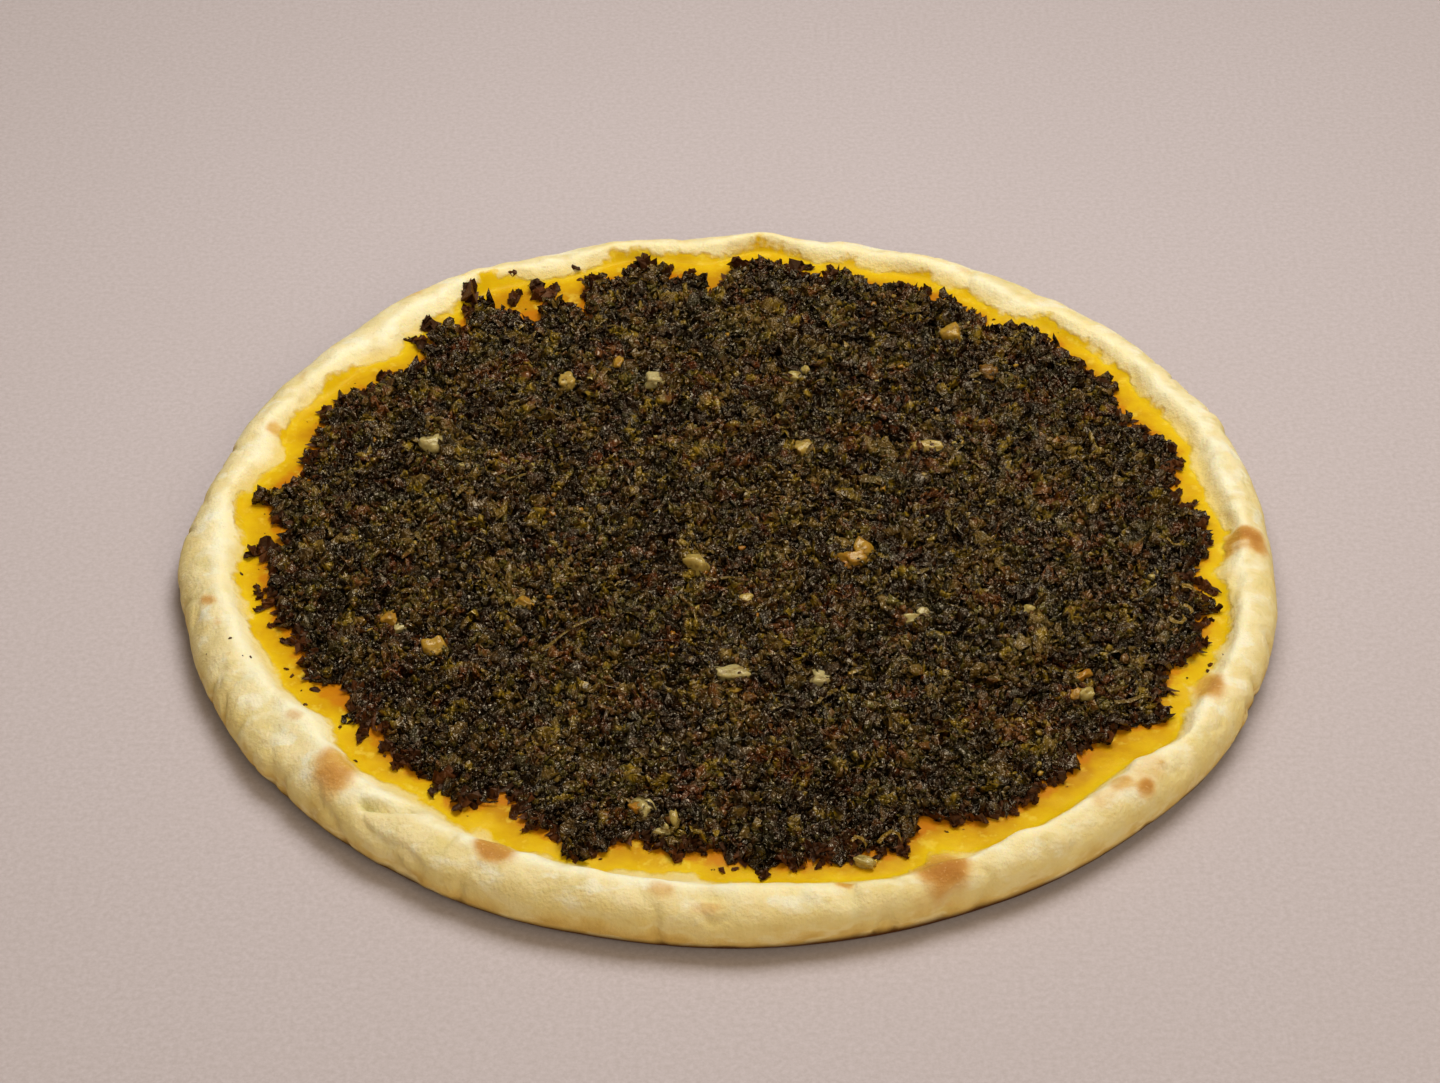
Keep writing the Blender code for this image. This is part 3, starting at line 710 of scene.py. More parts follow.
def store_values(mesh, values):
    """Lists with a value for each vertex, which the material reads by name."""
    for name, row in values.items():
        mesh.attributes.new(name, "FLOAT", "POINT").data.foreach_set("value", row)


def bread_rings():
    """Radius and height of each ring of the turned section, out over the rim and in to the underside."""
    crest = BREAD_RADIUS - CREST_INSET
    base = BREAD_RADIUS - BASE_INSET
    rings = [(WELL_RADIUS * part, WELL_HEIGHT) for part in WELL_PARTS]
    for step in range(SLOPE_RINGS + 1):
        part = step / SLOPE_RINGS
        rings.append((WELL_RADIUS + (crest - WELL_RADIUS) * part,
                      WELL_HEIGHT + (RIM_HEIGHT - WELL_HEIGHT) * smooth(part)))
    for step in range(1, SHOULDER_RINGS + 1):
        turn = math.pi / 2 * step / SHOULDER_RINGS
        drop = (RIM_HEIGHT - WIDEST_HEIGHT) * (1.0 - math.cos(turn))
        rings.append((crest + CREST_INSET * math.sin(turn), RIM_HEIGHT - drop))
    for step in range(1, UNDERSIDE_RINGS + 1):
        turn = math.pi / 2 * step / UNDERSIDE_RINGS
        radius = base + BASE_INSET * math.cos(turn) ** LIP_FULLNESS
        rings.append((radius, WIDEST_HEIGHT * (1.0 - math.sin(turn))))
    return rings + [(base * part, 0.0) for part in BASE_PARTS]


def along_rim(angle, centre):
    """Distance along the rim from a place given in degrees."""
    return ((angle - math.radians(centre) + math.pi) % math.tau - math.pi) * BREAD_RADIUS


def rim_press(angle, inset):
    """How far the rim is pressed in at a place on it."""
    total = 0.0
    for centre, dent_inset, length, width, depth in RIM_DENTS + FINE_DENTS:
        along = along_rim(angle, centre) / (length / 2 * MM)
        across = (inset - dent_inset * MM) / (width / 2 * MM)
        total += depth * MM * math.exp(-(along ** 2) - across ** 2)
    return total


def toast_at(angle, inset):
    """How toasted the rim is at a place on it."""
    total = 0.0
    for centre, spot_inset, length, width, spot_turn, strength in TOASTED_SPOTS:
        along = along_rim(angle, centre)
        across = inset - spot_inset * MM
        if abs(along) > length * MM or abs(across) > length * MM:
            continue
        tilt = math.radians(spot_turn)
        longways = (along * math.cos(tilt) + across * math.sin(tilt)) / (length / 2 * MM)
        sideways = (across * math.cos(tilt) - along * math.sin(tilt)) / (width / 2 * MM)
        total += strength * (1.0 - smooth((math.hypot(longways, sideways) - TOAST_CORE) / TOAST_FADE))
    return total


def fold_depth(place):
    """Depth of the soft creases that the stretched dough has in places."""
    wave = noise.noise(Vector((place.x, place.y, place.z * 0.6)) / FOLD_SIZE)
    here = smooth(noise.noise(place / (FOLD_SIZE * 1.7) + FOLD_SHIFT) * 3.0 + 0.6)
    return FOLD_DEPTH * here * (1.0 - smooth(abs(wave) / FOLD_WIDTH))


def bread_point(radius, height, angle, foot, outer, crest_swell):
    """A point of the uneven bread, and its radius from the turning axis."""
    part = (radius - WELL_RADIUS) / (BREAD_RADIUS - WELL_RADIUS)
    if part < 0.0:
        return polar(angle, foot * radius / WELL_RADIUS, height), foot * radius / WELL_RADIUS
    new_radius = foot + (outer - foot) * part
    above_well = smooth((height - WELL_HEIGHT) / (RIM_HEIGHT - WELL_HEIGHT))
    lumpy = smooth(part / LUMP_START) * smooth(height / WIDEST_HEIGHT)
    outward = direction(angle) * max(part - SIDE_START, 0.0) / (1.0 - SIDE_START)
    outward.z = above_well
    placed = direction(angle) * new_radius
    placed.z = height
    lump = LUMP_DEPTH * noise.noise(placed / LUMP_SIZE)
    press = rim_press(angle, outer - new_radius) + fold_depth(placed) * smooth((part - SIDE_START) * 2.0)
    placed.z += crest_swell * above_well
    return placed + outward * (lump - press) * lumpy - MIDDLE, new_radius


def turned_mesh(name, rings, top, bottom):
    """A closed skin over rings of points, from a top pole to a bottom pole."""
    points = [top, *sum(rings, []), bottom]
    steps = len(rings[0])
    last = len(points) - 1
    lowest = last - steps
    faces = []
    for step in range(steps):
        after = (step + 1) % steps
        faces.append((0, 1 + step, 1 + after))
        for inner in range(1, lowest, steps):
            outer = inner + steps
            faces.append((inner + step, outer + step, outer + after, inner + after))
        faces.append((last, lowest + after, lowest + step))
    mesh = bpy.data.meshes.new(name)
    mesh.from_pydata(points, [], faces)
    return mesh


def roughen(mesh, oil_depth, toast, calm):
    """Finer lumps along the surface's normals, flatter where oil has soaked in or the share is less."""
    normals = [vertex.normal.copy() for vertex in mesh.vertices]
    rows = zip(mesh.vertices, normals, oil_depth, toast, calm)
    for vertex, normal, oil, toasted, share in rows:
        above_base = smooth(vertex.co.z / WIDEST_HEIGHT)
        dry = 1.0 - (1.0 - OILY_RELIEF) * smooth((oil + 1.0) / 2.0)
        lift = layered_noise(vertex.co, DOUGH_RELIEF) * dry * share + BLISTER_HEIGHT * min(toasted, 1.0)
        vertex.co += normal * lift * above_base


def make_bread(material):
    """The whole bread, with the values that its finish reads; the oil's and the spinach's are millimetres."""
    sections = []
    for step in range(BREAD_STEPS):
        angle = math.tau * step / BREAD_STEPS
        oil = edge_radius(angle, OIL_RADIUS, OIL_SHIFT, OIL_SWELLS)
        sections.append((angle, well_radius(angle), outline_radius(angle), swell(angle, CREST_SWELLS),
                         oil, spinach_radius(angle)))
    rings = []
    finish = [IN_WELL]
    calm = [1.0]
    for radius, height in bread_rings():
        outwards = smooth((radius - BREAD_RADIUS + CREST_INSET) / SIDE_FADE)
        calm += [1.0 - (1.0 - SIDE_RELIEF) * outwards] * BREAD_STEPS
        # how much painted light the rim's inner slope gets
        slope = smooth((radius - WELL_RADIUS) / SLOPE_LIGHT_FADE)
        slope *= smooth((BREAD_RADIUS - CREST_INSET + SLOPE_LIGHT_FADE - radius) / SLOPE_LIGHT_FADE)
        points = []
        for angle, foot, outer, crest_swell, oil, spinach in sections:
            point, reached = bread_point(radius, height, angle, foot, outer, crest_swell)
            points.append(point)
            if height < WIDEST_HEIGHT:
                finish.append(OUT_OF_SIGHT)
                continue
            inset = outer - reached
            # the fourth value is how much painted shade the rim's dents get
            finish.append(((oil - reached) / MM, (reached - spinach) / MM, toast_at(angle, inset),
                           min(rim_press(angle, inset) / DENT_SHADE_FULL, 1.0), slope))
        rings.append(points)
    finish.append(OUT_OF_SIGHT)
    calm.append(1.0)
    mesh = turned_mesh("bread_crust", rings, Vector((0.0, 0.0, WELL_HEIGHT)) - MIDDLE, -MIDDLE)
    values = dict(zip(DOUGH_VALUES, zip(*finish)))
    store_values(mesh, values)
    roughen(mesh, values["oil_depth"], values["toast"], calm)
    mesh.shade_smooth()
    return mesh_object("bread_crust", mesh, material)


def core_edge():
    """The core's frayed edge, as a radius for each step."""
    edge = []
    for step in range(EDGE_STEPS):
        angle = math.tau * step / EDGE_STEPS
        radius = spinach_radius(angle)
        fray = layered_noise(direction(angle) * radius, RAGGED_EDGE)
        edge.append(radius - CORE_TRIM + fray + swell(angle, EDGE_GAPS))
    return edge


def edge_towards(edge, x, y):
    """The radius of the core's edge on the side of a place."""
    return edge[round(math.atan2(y, x) % math.tau / math.tau * EDGE_STEPS) % EDGE_STEPS]


def clump_height(place):
    """Rounded lumps with creases between them, about nought on average, and the lump's tone from 0 to 1."""
    total = 0.0
    for size, height in CLUMPS:
        cell = place / (size * MM)
        cell += noise.noise_vector(cell * 1.7) * CLUMP_WARP
        distances, middles = noise.voronoi(cell)
        nearest, second = distances[:2]
        rounded = min((second - nearest) / CREASE, 1.0) * (1.0 - nearest * nearest)
        total += height * MM * (rounded - CLUMP_AVERAGE)
        if size == CLUMPS[0][0]:
            tone = noise.cell(middles[0] * 7.3)
    return total, tone


def core_height(place, from_edge):
    """Height of the core's top at a place."""
    heap = HEAP_DEPTH * noise.noise(place / HEAP_SIZE)
    full = SPINACH_THICKNESS + heap - CORE_STAND
    thickness = CORE_EDGE_THICKNESS + (full - CORE_EDGE_THICKNESS) * smooth(from_edge / EDGE_SLOPE)
    return WELL_HEIGHT + SPINACH_GAP + max(thickness + clump_height(place)[0], CORE_LEAST)


def core_places(edge, draw):
    """Jittered places on a staggered grid inside the edge, with their distance from it."""
    row_height = CORE_SPACING * math.sqrt(0.75)
    reach = int(max(edge) / row_height) + 1
    jitter = CORE_SPACING * CORE_JITTER
    places = []
    for row in range(-reach, reach + 1):
        for column in range(-reach, reach + 1):
            x = (column + 0.5 * (row % 2)) * CORE_SPACING + draw.uniform(-jitter, jitter)
            y = row * row_height + draw.uniform(-jitter, jitter)
            distance = edge_towards(edge, x, y) - math.hypot(x, y)
            if distance > CORE_MARGIN:
                places.append((Vector((x, y, 0.0)), distance))
    return places


def under_onion(place):
    """Whether a piece of onion lies over this place."""
    for x, y, long, wide, turn, *look in ONION_PIECES:
        if abs(place.x - x * MM) > long * MM or abs(place.y - y * MM) > long * MM:
            continue
        tilt = math.radians(turn)
        way = Vector((place.x - x * MM, place.y - y * MM)) / (ONION_BARE * MM / 2)
        along = way.x * math.cos(tilt) + way.y * math.sin(tilt)
        across = way.y * math.cos(tilt) - way.x * math.sin(tilt)
        if math.hypot(along / long, across / wide) < 1.0:
            return True
    return False


def make_core(material):
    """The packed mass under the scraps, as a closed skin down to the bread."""
    edge = core_edge()
    places = []
    for step, radius in enumerate(edge):
        angle = math.tau * step / EDGE_STEPS
        places.append((Vector((radius * math.cos(angle), radius * math.sin(angle), 0.0)), 0.0))
    places += core_places(edge, random.Random(SEED))
    points = [Vector((place.x, place.y, core_height(place, distance))) for place, distance in places]
    loop = [(step, (step + 1) % EDGE_STEPS) for step in range(EDGE_STEPS)]
    inside = 1
    result = geometry.delaunay_2d_cdt([point.to_2d() for point in points], loop, [], inside, 0.001 * MM)
    builder = bmesh.new()
    vertices = [builder.verts.new(points[origins[0]] - MIDDLE) for origins in result[3]]
    for corners in result[2]:
        builder.faces.new([vertices[corner] for corner in corners])
    rim = [side for side in builder.edges if side.is_boundary]
    skirt = bmesh.ops.extrude_edge_only(builder, edges=rim)["geom"]
    for item in skirt:
        if isinstance(item, bmesh.types.BMVert):
            item.co.z = WELL_HEIGHT - CORE_SUNK
    hem = [item for item in skirt if isinstance(item, bmesh.types.BMEdge)]
    bmesh.ops.holes_fill(builder, edges=hem, sides=0)
    bmesh.ops.triangulate(builder, faces=[face for face in builder.faces if len(face.verts) > 4])
    mesh = finished_mesh("spinach_core", builder)
    values = {"tone": [], "clump": [], "cover": [], "edge": []}
    for vertex in mesh.vertices:
        place = vertex.co + MIDDLE
        place.z = 0.0
        height, clump = clump_height(place)
        # painted shade: the core's tone falls with its lumps' height, so the creases between them are darker
        values["tone"].append(0.4 + 0.4 * height / MM)
        values["clump"].append(clump)
        values["cover"].append(1.0 if vertex.co.z > WELL_HEIGHT and not under_onion(vertex.co) else 0.0)
        from_edge = edge_towards(edge, place.x, place.y) - place.length
        values["edge"].append(1.0 - smooth(from_edge / CRISP_EDGE))
    store_values(mesh, values)
    return mesh_object("spinach_core", mesh, material)


# Scraps scattered on the core

def any_shift(draw):
    """A shift that gives each shape its own part of the noise."""
    return Vector([draw.uniform(0.0, 50.0) for axis in range(3)])


def scrap_mesh(name, draw, sides, rows, long, wide, thick, crumple, wave):
    """A closed scrap about one unit wide: a flattened ball, crumpled and bent in waves."""
    builder = bmesh.new()
    bmesh.ops.create_uvsphere(builder, u_segments=sides, v_segments=rows, radius=0.5)
    shift = any_shift(draw)
    for vertex in builder.verts:
        x, y, z = vertex.co
        shaped = Vector((x * long, y * wide, z * thick))
        shaped += Vector([draw.uniform(-crumple, crumple) for axis in range(3)])
        shaped.z += wave * noise.noise(Vector((x, y, 0.0)) / WAVE_SIZE + shift)
        vertex.co = shaped
    bmesh.ops.triangulate(builder, faces=builder.faces)
    return finished_mesh(name, builder)


def scrap_shapes(name, seed, sides, rows, long, wide, thick, crumple, wave):
    """A set of different scraps to scatter, kept out of the scene."""
    draw = random.Random(seed)
    shapes = bpy.data.collections.new(name)
    for index in range(SCRAP_VARIANTS):
        mesh = scrap_mesh(f"{name}_{index}", draw, sides, rows, long * draw.uniform(0.7, 1.3),
                          wide * draw.uniform(0.7, 1.3), thick * draw.uniform(0.6, 1.4), crumple,
                          wave * draw.uniform(0.5, 1.3))
        shapes.objects.link(bpy.data.objects.new(mesh.name, mesh))
    return shapes


def scatter_tree():
    """Geometry Nodes that lay scraps on the covered part of a surface."""
    tree = bpy.data.node_groups.new("lay_scraps", "GeometryNodeTree")
    for name, kind in SCATTER_INPUTS:
        tree.interface.new_socket(name=name, in_out="INPUT", socket_type=f"NodeSocket{kind}")
    tree.interface.new_socket(name="Scraps", in_out="OUTPUT", socket_type="NodeSocketGeometry")
    given = {socket.name: Field(socket) for socket in tree.nodes.new("NodeGroupInput").outputs}

    def drawn(inputs, output=1, kind="FLOAT"):
        """A value that is drawn for each scrap."""
        inputs["Seed"] = given["Seed"]
        return made_by(tree, "FunctionNodeRandomValue", inputs, output, data_type=kind)

    cover = made_by(tree, "GeometryNodeInputNamedAttribute", {"Name": "cover"}, "Attribute",
                    data_type="FLOAT")
    place = made_by(tree, "GeometryNodeInputPosition")
    moved = made_by(tree, "ShaderNodeVectorMath", {0: place, 1: given["Patch Shift"]})
    chance = between(noise_field(moved, PATCH_SIZE) - given["Bare"], -PATCH_EDGE, PATCH_EDGE) * cover
    points = made_by(tree, "GeometryNodeDistributePointsOnFaces", {
        "Mesh": given["Surface"], "Distance Min": given["Spacing"], "Density Max": SCATTER_DENSITY,
        "Density Factor": chance, "Seed": given["Seed"],
    }, "Points", distribute_method="POISSON")
    offset = made_by(tree, "ShaderNodeCombineXYZ", {"Z": drawn({3: given["Lift"]})})
    raised = made_by(tree, "GeometryNodeSetPosition", {"Geometry": points, "Offset": offset})

    back = 0.0 - given["Tilt"]
    low_turn = made_by(tree, "ShaderNodeCombineXYZ", {"X": back, "Y": back})
    high_turn = made_by(tree, "ShaderNodeCombineXYZ", {"X": given["Tilt"], "Y": given["Tilt"], "Z": math.tau})
    turns = drawn({0: low_turn, 1: high_turn}, 0, "FLOAT_VECTOR")
    shapes = made_by(tree, "GeometryNodeCollectionInfo", {
        "Collection": given["Shapes"], "Separate Children": True, "Reset Children": True,
    })
    laid = made_by(tree, "GeometryNodeInstanceOnPoints", {
        "Points": raised, "Instance": shapes, "Pick Instance": True,
        "Rotation": made_by(tree, "FunctionNodeEulerToRotation", {"Euler": turns}),
        "Scale": drawn({2: given["Smallest"], 3: given["Largest"]}),
    })
    toned = made_by(tree, "GeometryNodeStoreNamedAttribute", {
        "Geometry": laid, "Name": "tone", "Value": drawn({2: 0.0, 3: 1.0}),
    }, data_type="FLOAT", domain="INSTANCE")
    real = made_by(tree, "GeometryNodeRealizeInstances", {"Geometry": toned})
    finish = made_by(tree, "GeometryNodeSetMaterial", {"Geometry": real, "Material": given["Finish"]})
    connect(tree, finish, tree.nodes.new("NodeGroupOutput").inputs["Scraps"])
    return tree


def scatter(name, tree, surface, values):
    """A mesh object of what the tree lays on a surface."""
    host = bpy.data.objects.new(name, surface.data)
    bpy.context.scene.collection.objects.link(host)
    modifier = host.modifiers.new("lay", "NODES")
    modifier.node_group = tree
    for item in tree.interface.items_tree:
        if item.in_out == "INPUT" and item.name in values:
            modifier[item.identifier] = values[item.name]
    bpy.context.view_layer.update()
    depsgraph = bpy.context.evaluated_depsgraph_get()
    mesh = bpy.data.meshes.new_from_object(host.evaluated_get(depsgraph), preserve_all_data_layers=True,
                                           depsgraph=depsgraph)
    bpy.data.objects.remove(host)
    mesh.name = name
    mesh.shade_smooth()
    return mesh_object(name, mesh, values["Finish"])


def make_scraps(core, leaf):
    """The scraps of each kind that cover the core."""
    tree = scatter_tree()
    pieces = []
    for seed, kind in enumerate(SCRAP_KINDS, 1):
        name, finish, form, spacing, smallest, largest, tilt, bare = kind
        shapes = scrap_shapes(f"{name}_shapes", SEED + seed, *form)
        pieces.append(scatter(name, tree, core, {
            "Shapes": shapes, "Finish": leaf[finish], "Spacing": spacing * MM,
            "Smallest": smallest * MM, "Largest": largest * MM, "Tilt": tilt, "Lift": SCRAP_LIFT, "Bare": bare,
            "Patch Shift": (0.1 * seed, 0.0, 0.0), "Seed": SEED + seed,
        }))
        for obj in list(shapes.objects):
            bpy.data.objects.remove(obj)
        bpy.data.collections.remove(shapes)
    bpy.data.node_groups.remove(tree)
    return pieces


# Shreds, tips, flecks and onion laid from lists or at random

class Bits:
    """Points, faces and tones of many small closed shapes that become one mesh."""

    def __init__(self):
        self.points = []
        self.faces = []
        self.tones = []

    def strip(self, path, width, thickness, tone, draw, ragged):
        """A strip along a path, pointed at its far end, with uneven sides."""
        start = len(self.points)
        last = len(path) - 1
        for index, place in enumerate(path):
            ahead = path[min(index + 1, last)] - path[max(index - 1, 0)]
            side = ahead.cross(Vector((0.0, 0.0, 1.0))).normalized() * width / 2
            taper = 0.1 + 0.9 * math.sqrt(max(1.0 - (index / last) ** 2, 0.0))
            up = Vector((0.0, 0.0, thickness / 2 * (0.4 + 0.6 * taper)))
            sides = []
            for way in range(2):
                reach = side * taper * draw.uniform(1.0 - ragged, 1.0 + ragged)
                sides.append(reach + up * draw.uniform(-ragged, ragged) * STRIP_CURL)
            self.points += [place - sides[0], place + up, place + sides[1], place - up]
        for index in range(last):
            for corner in range(4):
                first = start + 4 * index + corner
                second = start + 4 * index + (corner + 1) % 4
                self.faces.append((first, second, second + 4, first + 4))
        self.faces.append((start, start + 3, start + 2, start + 1))
        end = start + 4 * last
        self.faces.append((end, end + 1, end + 2, end + 3))
        self.tones += [tone] * (len(self.points) - start)

    def add_mesh(self, mesh, matrix, tone):
        """A copy of a mesh, placed by a matrix."""
        start = len(self.points)
        self.points += [matrix @ vertex.co for vertex in mesh.vertices]
        self.faces += [tuple(start + corner for corner in face.vertices) for face in mesh.polygons]
        self.tones += [tone] * len(mesh.vertices)

    def made(self, name, material, rounded=False):
        mesh = bpy.data.meshes.new(name)
        mesh.from_pydata(self.points, [], self.faces)
        builder = bmesh.new()
        builder.from_mesh(mesh)
        bmesh.ops.recalc_face_normals(builder, faces=builder.faces)
        builder.to_mesh(mesh)
        builder.free()
        if rounded:
            mesh.shade_smooth()
        store_values(mesh, {"tone": self.tones})
        return mesh_object(name, mesh, material)


def surface_tree(pieces):
    """A search tree of the pieces' faces, to lay things on."""
    bits = Bits()
    for piece in pieces:
        bits.add_mesh(piece.data, Matrix.Identity(4), 0.0)
    return BVHTree.FromPolygons(bits.points, bits.faces)


def laid_on(ground, x, y, lift):
    """The place on the ground at x, y, lifted a little; all in metres."""
    hit = ground.ray_cast(Vector((x, y, 0.1)), Vector((0.0, 0.0, -1.0)))[0]
    return hit + Vector((0.0, 0.0, lift))


def draped(ground, flat_path, lift, rise=0.0):
    """The path laid on the ground, its far end raised."""
    last = len(flat_path) - 1
    return [laid_on(ground, place.x, place.y, lift + rise * (index / last) ** 2)
            for index, place in enumerate(flat_path)]


def bent_path(start, heading, length, bend, steps):
    """Flat points from a start, turning steadily."""
    path = [start.copy()]
    for step in range(steps):
        path.append(path[-1] + direction(heading) * length / steps)
        heading += bend / steps
    return path


def flat(x, y):
    """A place on the table, from millimetres."""
    return Vector((x, y, 0.0)) * MM


def within_spinach(draw):
    """A random place on the table, well inside the spinach's edge."""
    angle = draw.uniform(0.0, math.tau)
    return polar(angle, (spinach_radius(angle) - STREW_INSET) * math.sqrt(draw.random()), 0.0)


def make_spikes(ground, material):
    """Thin leaf tips that stand out over the oil round the spinach."""
    draw = random.Random(SEED + 11)
    bits = Bits()
    for start_x, start_y, end_x, end_y, width in LEAF_TIPS:
        start = flat(start_x, start_y)
        way = flat(end_x, end_y) - start
        bend = draw.uniform(-0.7, 0.7)
        path = bent_path(start, math.atan2(way.y, way.x) - bend / 2, way.length, bend, 5)
        path = draped(ground, path, TIP_LIFT, TIP_RISE)
        bits.strip(path, 0.6 * width * MM, TIP_THICKNESS, draw.uniform(0.0, 0.5), draw, 0.45)
    edge = core_edge()
    for count in range(SPIKE_COUNT):
        step = draw.randrange(EDGE_STEPS)
        angle = math.tau * step / EDGE_STEPS
        length = draw.uniform(*SPIKE_LENGTH) * MM
        start = polar(angle, edge[step] - 0.45 * length, 0.0)
        turn = draw.uniform(-SPIKE_TURN, SPIKE_TURN)
        path = draped(ground, bent_path(start, angle + turn, length, draw.uniform(-0.9, 0.9), 4),
                      draw.uniform(0.1, 0.6) * MM, draw.uniform(0.0, 0.6) * MM)
        bits.strip(path, draw.uniform(*SPIKE_WIDTH) * MM, TIP_THICKNESS, draw.uniform(0.0, 0.8), draw, 0.4)
    return bits.made("leaf_spikes", material)


def edge_places(draw):
    """Places and sizes of the bits along the leaf tips and round the edge."""
    places = []
    for start_x, start_y, end_x, end_y, width in LEAF_TIPS:
        start = flat(start_x, start_y)
        end = flat(end_x, end_y)
        count = math.ceil((end - start).length / (0.45 * width * MM))
        for index in range(count):
            part = index / count
            astray = Vector((draw.uniform(-0.2, 0.2), draw.uniform(-0.2, 0.2), 0.0)) * width * MM
            size = width * (1.1 - 0.5 * part) * draw.uniform(0.8, 1.2)
            places.append((start.lerp(end, part) + astray, size))
    edge = core_edge()
    for count in range(EDGE_BITS):
        step = draw.randrange(EDGE_STEPS)
        size = draw.uniform(*EDGE_BIT_SIZE)
        radius = edge[step] + draw.uniform(-0.6, 0.4) * size * MM
        places.append((polar(math.tau * step / EDGE_STEPS, radius, 0.0), size))
    return places


def make_edge_bits(ground, material):
    """Crumpled brown bits that make the spinach's ragged edge and the lumps of its tips."""
    draw = random.Random(SEED + 16)
    shapes = [scrap_mesh(f"edge_bit_{index}", draw, *EDGE_BIT_FORM) for index in range(EDGE_BIT_SHAPES)]
    bits = Bits()
    for place, size in edge_places(draw):
        laid = laid_on(ground, place.x, place.y, 0.2 * size * MM)
        turns = Euler((draw.uniform(-0.5, 0.5), draw.uniform(-0.5, 0.5), draw.uniform(0.0, math.tau)))
        matrix = Matrix.Translation(laid) @ turns.to_matrix().to_4x4() @ Matrix.Scale(size * MM, 4)
        bits.add_mesh(draw.choice(shapes), matrix, draw.random())
    for shape in shapes:
        bpy.data.meshes.remove(shape)
    return bits.made("edge_bits", material)


def make_shreds(ground, name, seed, count, tones, material, placed=()):
    """Long shreds strewn over the spinach."""
    draw = random.Random(SEED + seed)
    bits = Bits()
    for tone, width, *stops in placed:
        path = draped(ground, [flat(*stop) for stop in stops], STEM_LIFT)
        bits.strip(path, width * MM, STEM_THICKNESS, tone, draw, 0.3)
    for index in range(count):
        start = within_spinach(draw)
        length = draw.uniform(*SHRED_LENGTH) * MM
        path = bent_path(start, draw.uniform(0.0, math.tau), length, draw.uniform(-1.5, 1.5), 6)
        path = draped(ground, path, draw.uniform(0.6, 1.3) * MM)
        bits.strip(path, draw.uniform(*SHRED_WIDTH) * MM, draw.uniform(0.3, 0.6) * MM,
                   draw.uniform(*tones), draw, 0.3)
    return bits.made(name, material)


def make_flecks(ground, material):
    """Loose flecks of leaf on the oil and the rim."""
    draw = random.Random(SEED + 14)
    shapes = [scrap_mesh(f"fleck_{index}", draw, *FLECK_FORM) for index in range(FLECK_SHAPES)]
    places = [(x * MM, y * MM, size * MM) for x, y, size in LOOSE_FLECKS]
    for count in range(STRAY_FLECKS):
        angle = draw.uniform(0.0, math.tau)
        place = polar(angle, spinach_radius(angle) + STRAY_REACH * MM * draw.random() ** 2, 0.0)
        places.append((place.x, place.y, draw.uniform(0.35, 0.9) * MM))
    bits = Bits()
    for x, y, size in places:
        matrix = Matrix.Translation(laid_on(ground, x, y, 0.05 * size))
        matrix = matrix @ Matrix.Rotation(draw.uniform(0.0, math.tau), 4, "Z") @ Matrix.Scale(size, 4)
        bits.add_mesh(draw.choice(shapes), matrix, draw.uniform(0.2, 1.0))
    for shape in shapes:
        bpy.data.meshes.remove(shape)
    return bits.made("loose_flecks", material)


def onion_mesh(draw, bend, detail):
    """A rounded chunk one unit long and wide, bent sideways."""
    builder = bmesh.new()
    bmesh.ops.create_icosphere(builder, subdivisions=detail, radius=0.5)
    shift = any_shift(draw)
    for vertex in builder.verts:
        boxy = Vector([math.copysign(abs(2 * value) ** 0.7 / 2, value) for value in vertex.co])
        boxy *= 1.0 + 0.6 * noise.noise(vertex.co * 2.5 + shift) + 0.25 * noise.noise(vertex.co * 7.0 + shift)
        boxy.y += bend * (boxy.x ** 2 * 4.0 - 0.4)
        vertex.co = boxy
    mesh = bpy.data.meshes.new("onion_chunk")
    builder.to_mesh(mesh)
    builder.free()
    return mesh


def make_onion(ground, material):
    """Chunks of fried onion, sunk a little into the spinach, and small crumbs of it."""
    draw = random.Random(SEED + 15)
    pieces = list(ONION_PIECES)
    for count in range(ONION_CRUMBS):
        place = within_spinach(draw) / MM
        pieces.append((place.x, place.y, draw.uniform(*ONION_CRUMB_SIZE), draw.uniform(0.8, 1.4),
                       draw.uniform(0, 180), 0.0, draw.uniform(0.2, 1.0)))
    bits = Bits()
    for x, y, long, wide, turn, bend, tone in pieces:
        mesh = onion_mesh(draw, bend, 3 if long > ONION_CRUMB_SIZE[1] else 2)
        thick = max(ONION_THICKNESS * min(long, wide), ONION_LEAST)
        turned = Matrix.Rotation(math.radians(turn), 4, "Z")
        tilt = Matrix.Rotation(draw.uniform(-0.5, 0.5), 4, "X")
        form = Matrix.Diagonal(Vector((long, wide, thick)) * MM).to_4x4()
        laid = laid_on(ground, x * MM, y * MM, ONION_LIFT)
        bits.add_mesh(mesh, Matrix.Translation(laid) @ turned @ tilt @ form, tone)
        bpy.data.meshes.remove(mesh)
    return bits.made("fried_onion", material, True)


# Stage

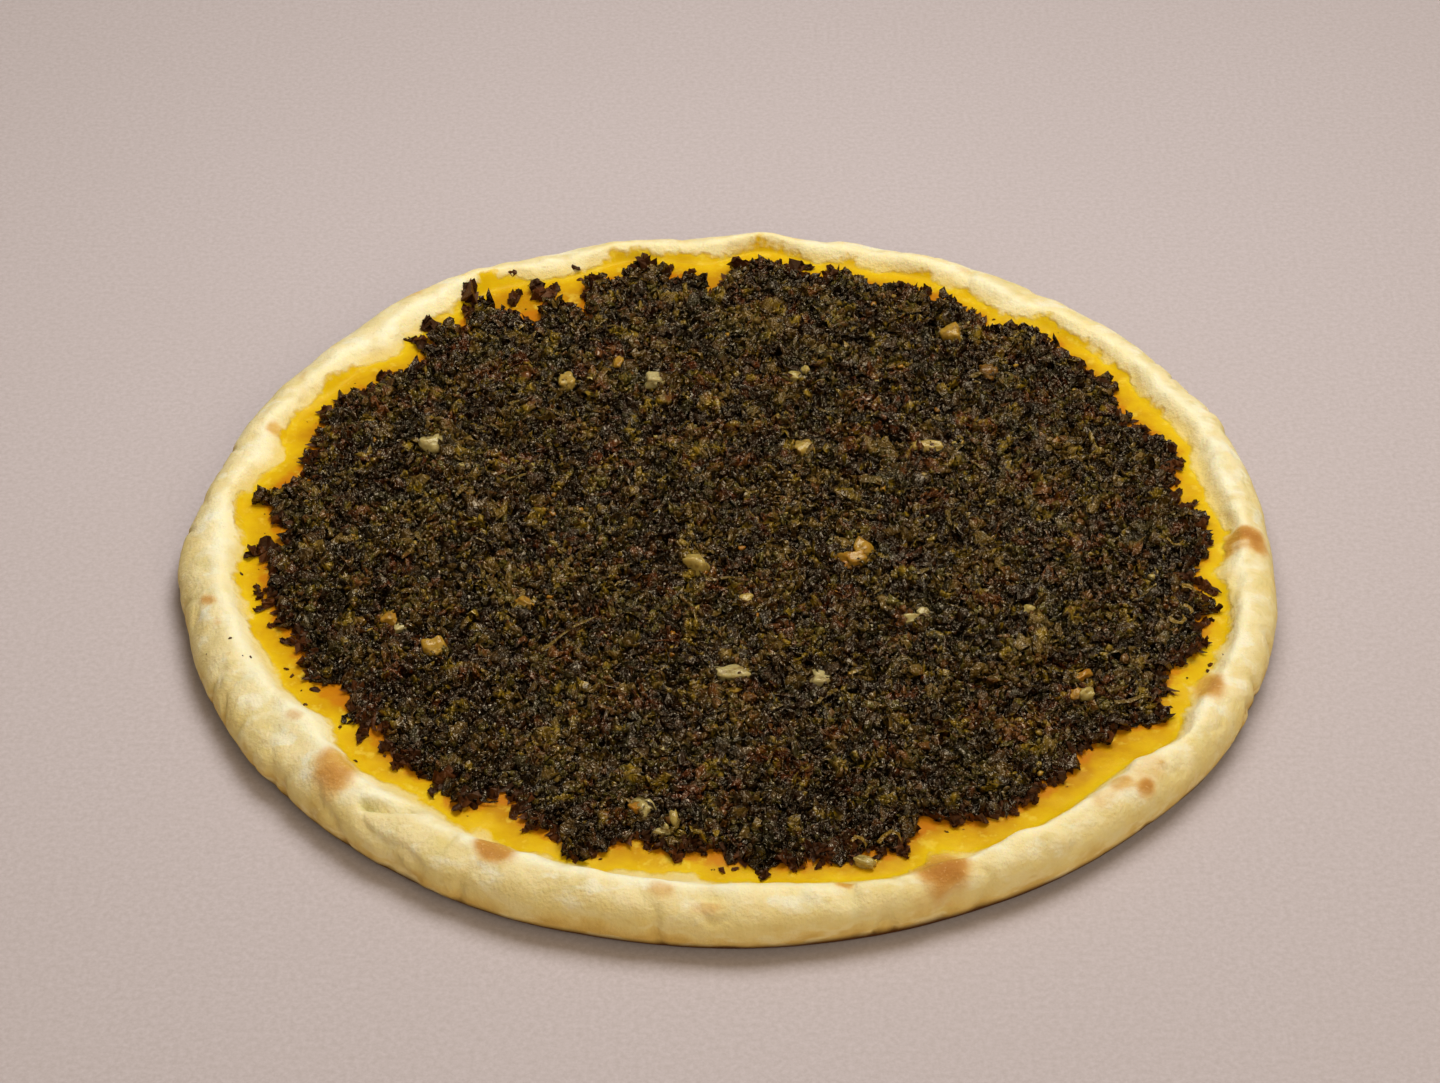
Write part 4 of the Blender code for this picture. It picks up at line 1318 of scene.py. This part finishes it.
def make_camera():
    data = bpy.data.cameras.new("camera")
    data.lens = CAMERA_LENS
    data.clip_start = 10 * MM
    data.clip_end = 50.0
    camera = bpy.data.objects.new("camera", data)
    bpy.context.scene.collection.objects.link(camera)
    back = Vector((0.0, -math.cos(CAMERA_PITCH), math.sin(CAMERA_PITCH)))
    camera.location = CAMERA_TARGET + back * CAMERA_DISTANCE
    camera.rotation_euler = (math.pi / 2 - CAMERA_PITCH, 0.0, 0.0)
    bpy.context.scene.camera = camera


def make_stage():
    mesh = bpy.data.meshes.new("floor")
    half = FLOOR_SIZE / 2
    corners = [(-half, -half, 0), (half, -half, 0), (half, half, 0), (-half, half, 0)]
    mesh.from_pydata(corners, [], [(0, 1, 2, 3)])
    floor = mesh_object("floor", mesh, pale_paper())
    scene = bpy.context.scene
    scene.world = bpy.data.worlds.new("soft_room")
    scene.world.use_nodes = True
    background = scene.world.node_tree.nodes["Background"]
    background.inputs["Color"].default_value = (1.0, 0.84, 0.58, 1.0)
    background.inputs["Strength"].default_value = 0.24
    for name, place, size, power, colour in LIGHTS:
        data = bpy.data.lights.new(name, "AREA")
        data.size = size
        data.energy = power
        data.color = colour
        light = bpy.data.objects.new(name, data)
        scene.collection.objects.link(light)
        light.location = place
        light.rotation_euler = (-Vector(place)).to_track_quat("-Z", "Y").to_euler()
    scene.view_settings.view_transform = "Standard"
    scene.view_settings.look = "None"


def main():
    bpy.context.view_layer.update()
    noise.seed_set(SEED)
    crust = make_bread(baked_dough())
    leaf = {name: wilted_leaf(name) for name in LEAF_FINISHES}
    core = make_core(leaf["packed_spinach"])
    scraps = make_scraps(core, leaf)
    ground = surface_tree([crust, core])
    crisp = crisp_leaf()
    leaves = [core, *scraps, make_spikes(ground, crisp), make_edge_bits(ground, crisp),
              make_shreds(ground, "leaf_shreds", 12, SHRED_COUNT, (0.2, 1.0), leaf["dark_leaf"]),
              make_shreds(ground, "stem_shreds", 13, STEM_COUNT, (0.1, 0.8), leaf["stem"], LONG_STEMS),
              make_flecks(ground, crisp)]
    onion = make_onion(ground, fried_onion())
    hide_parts("bread")
    for piece in leaves:
        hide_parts("spinach")
    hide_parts("spinach")
    for piece in [crust, *leaves, onion]:
        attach(piece, "root")
    make_camera()
    make_stage()


main()
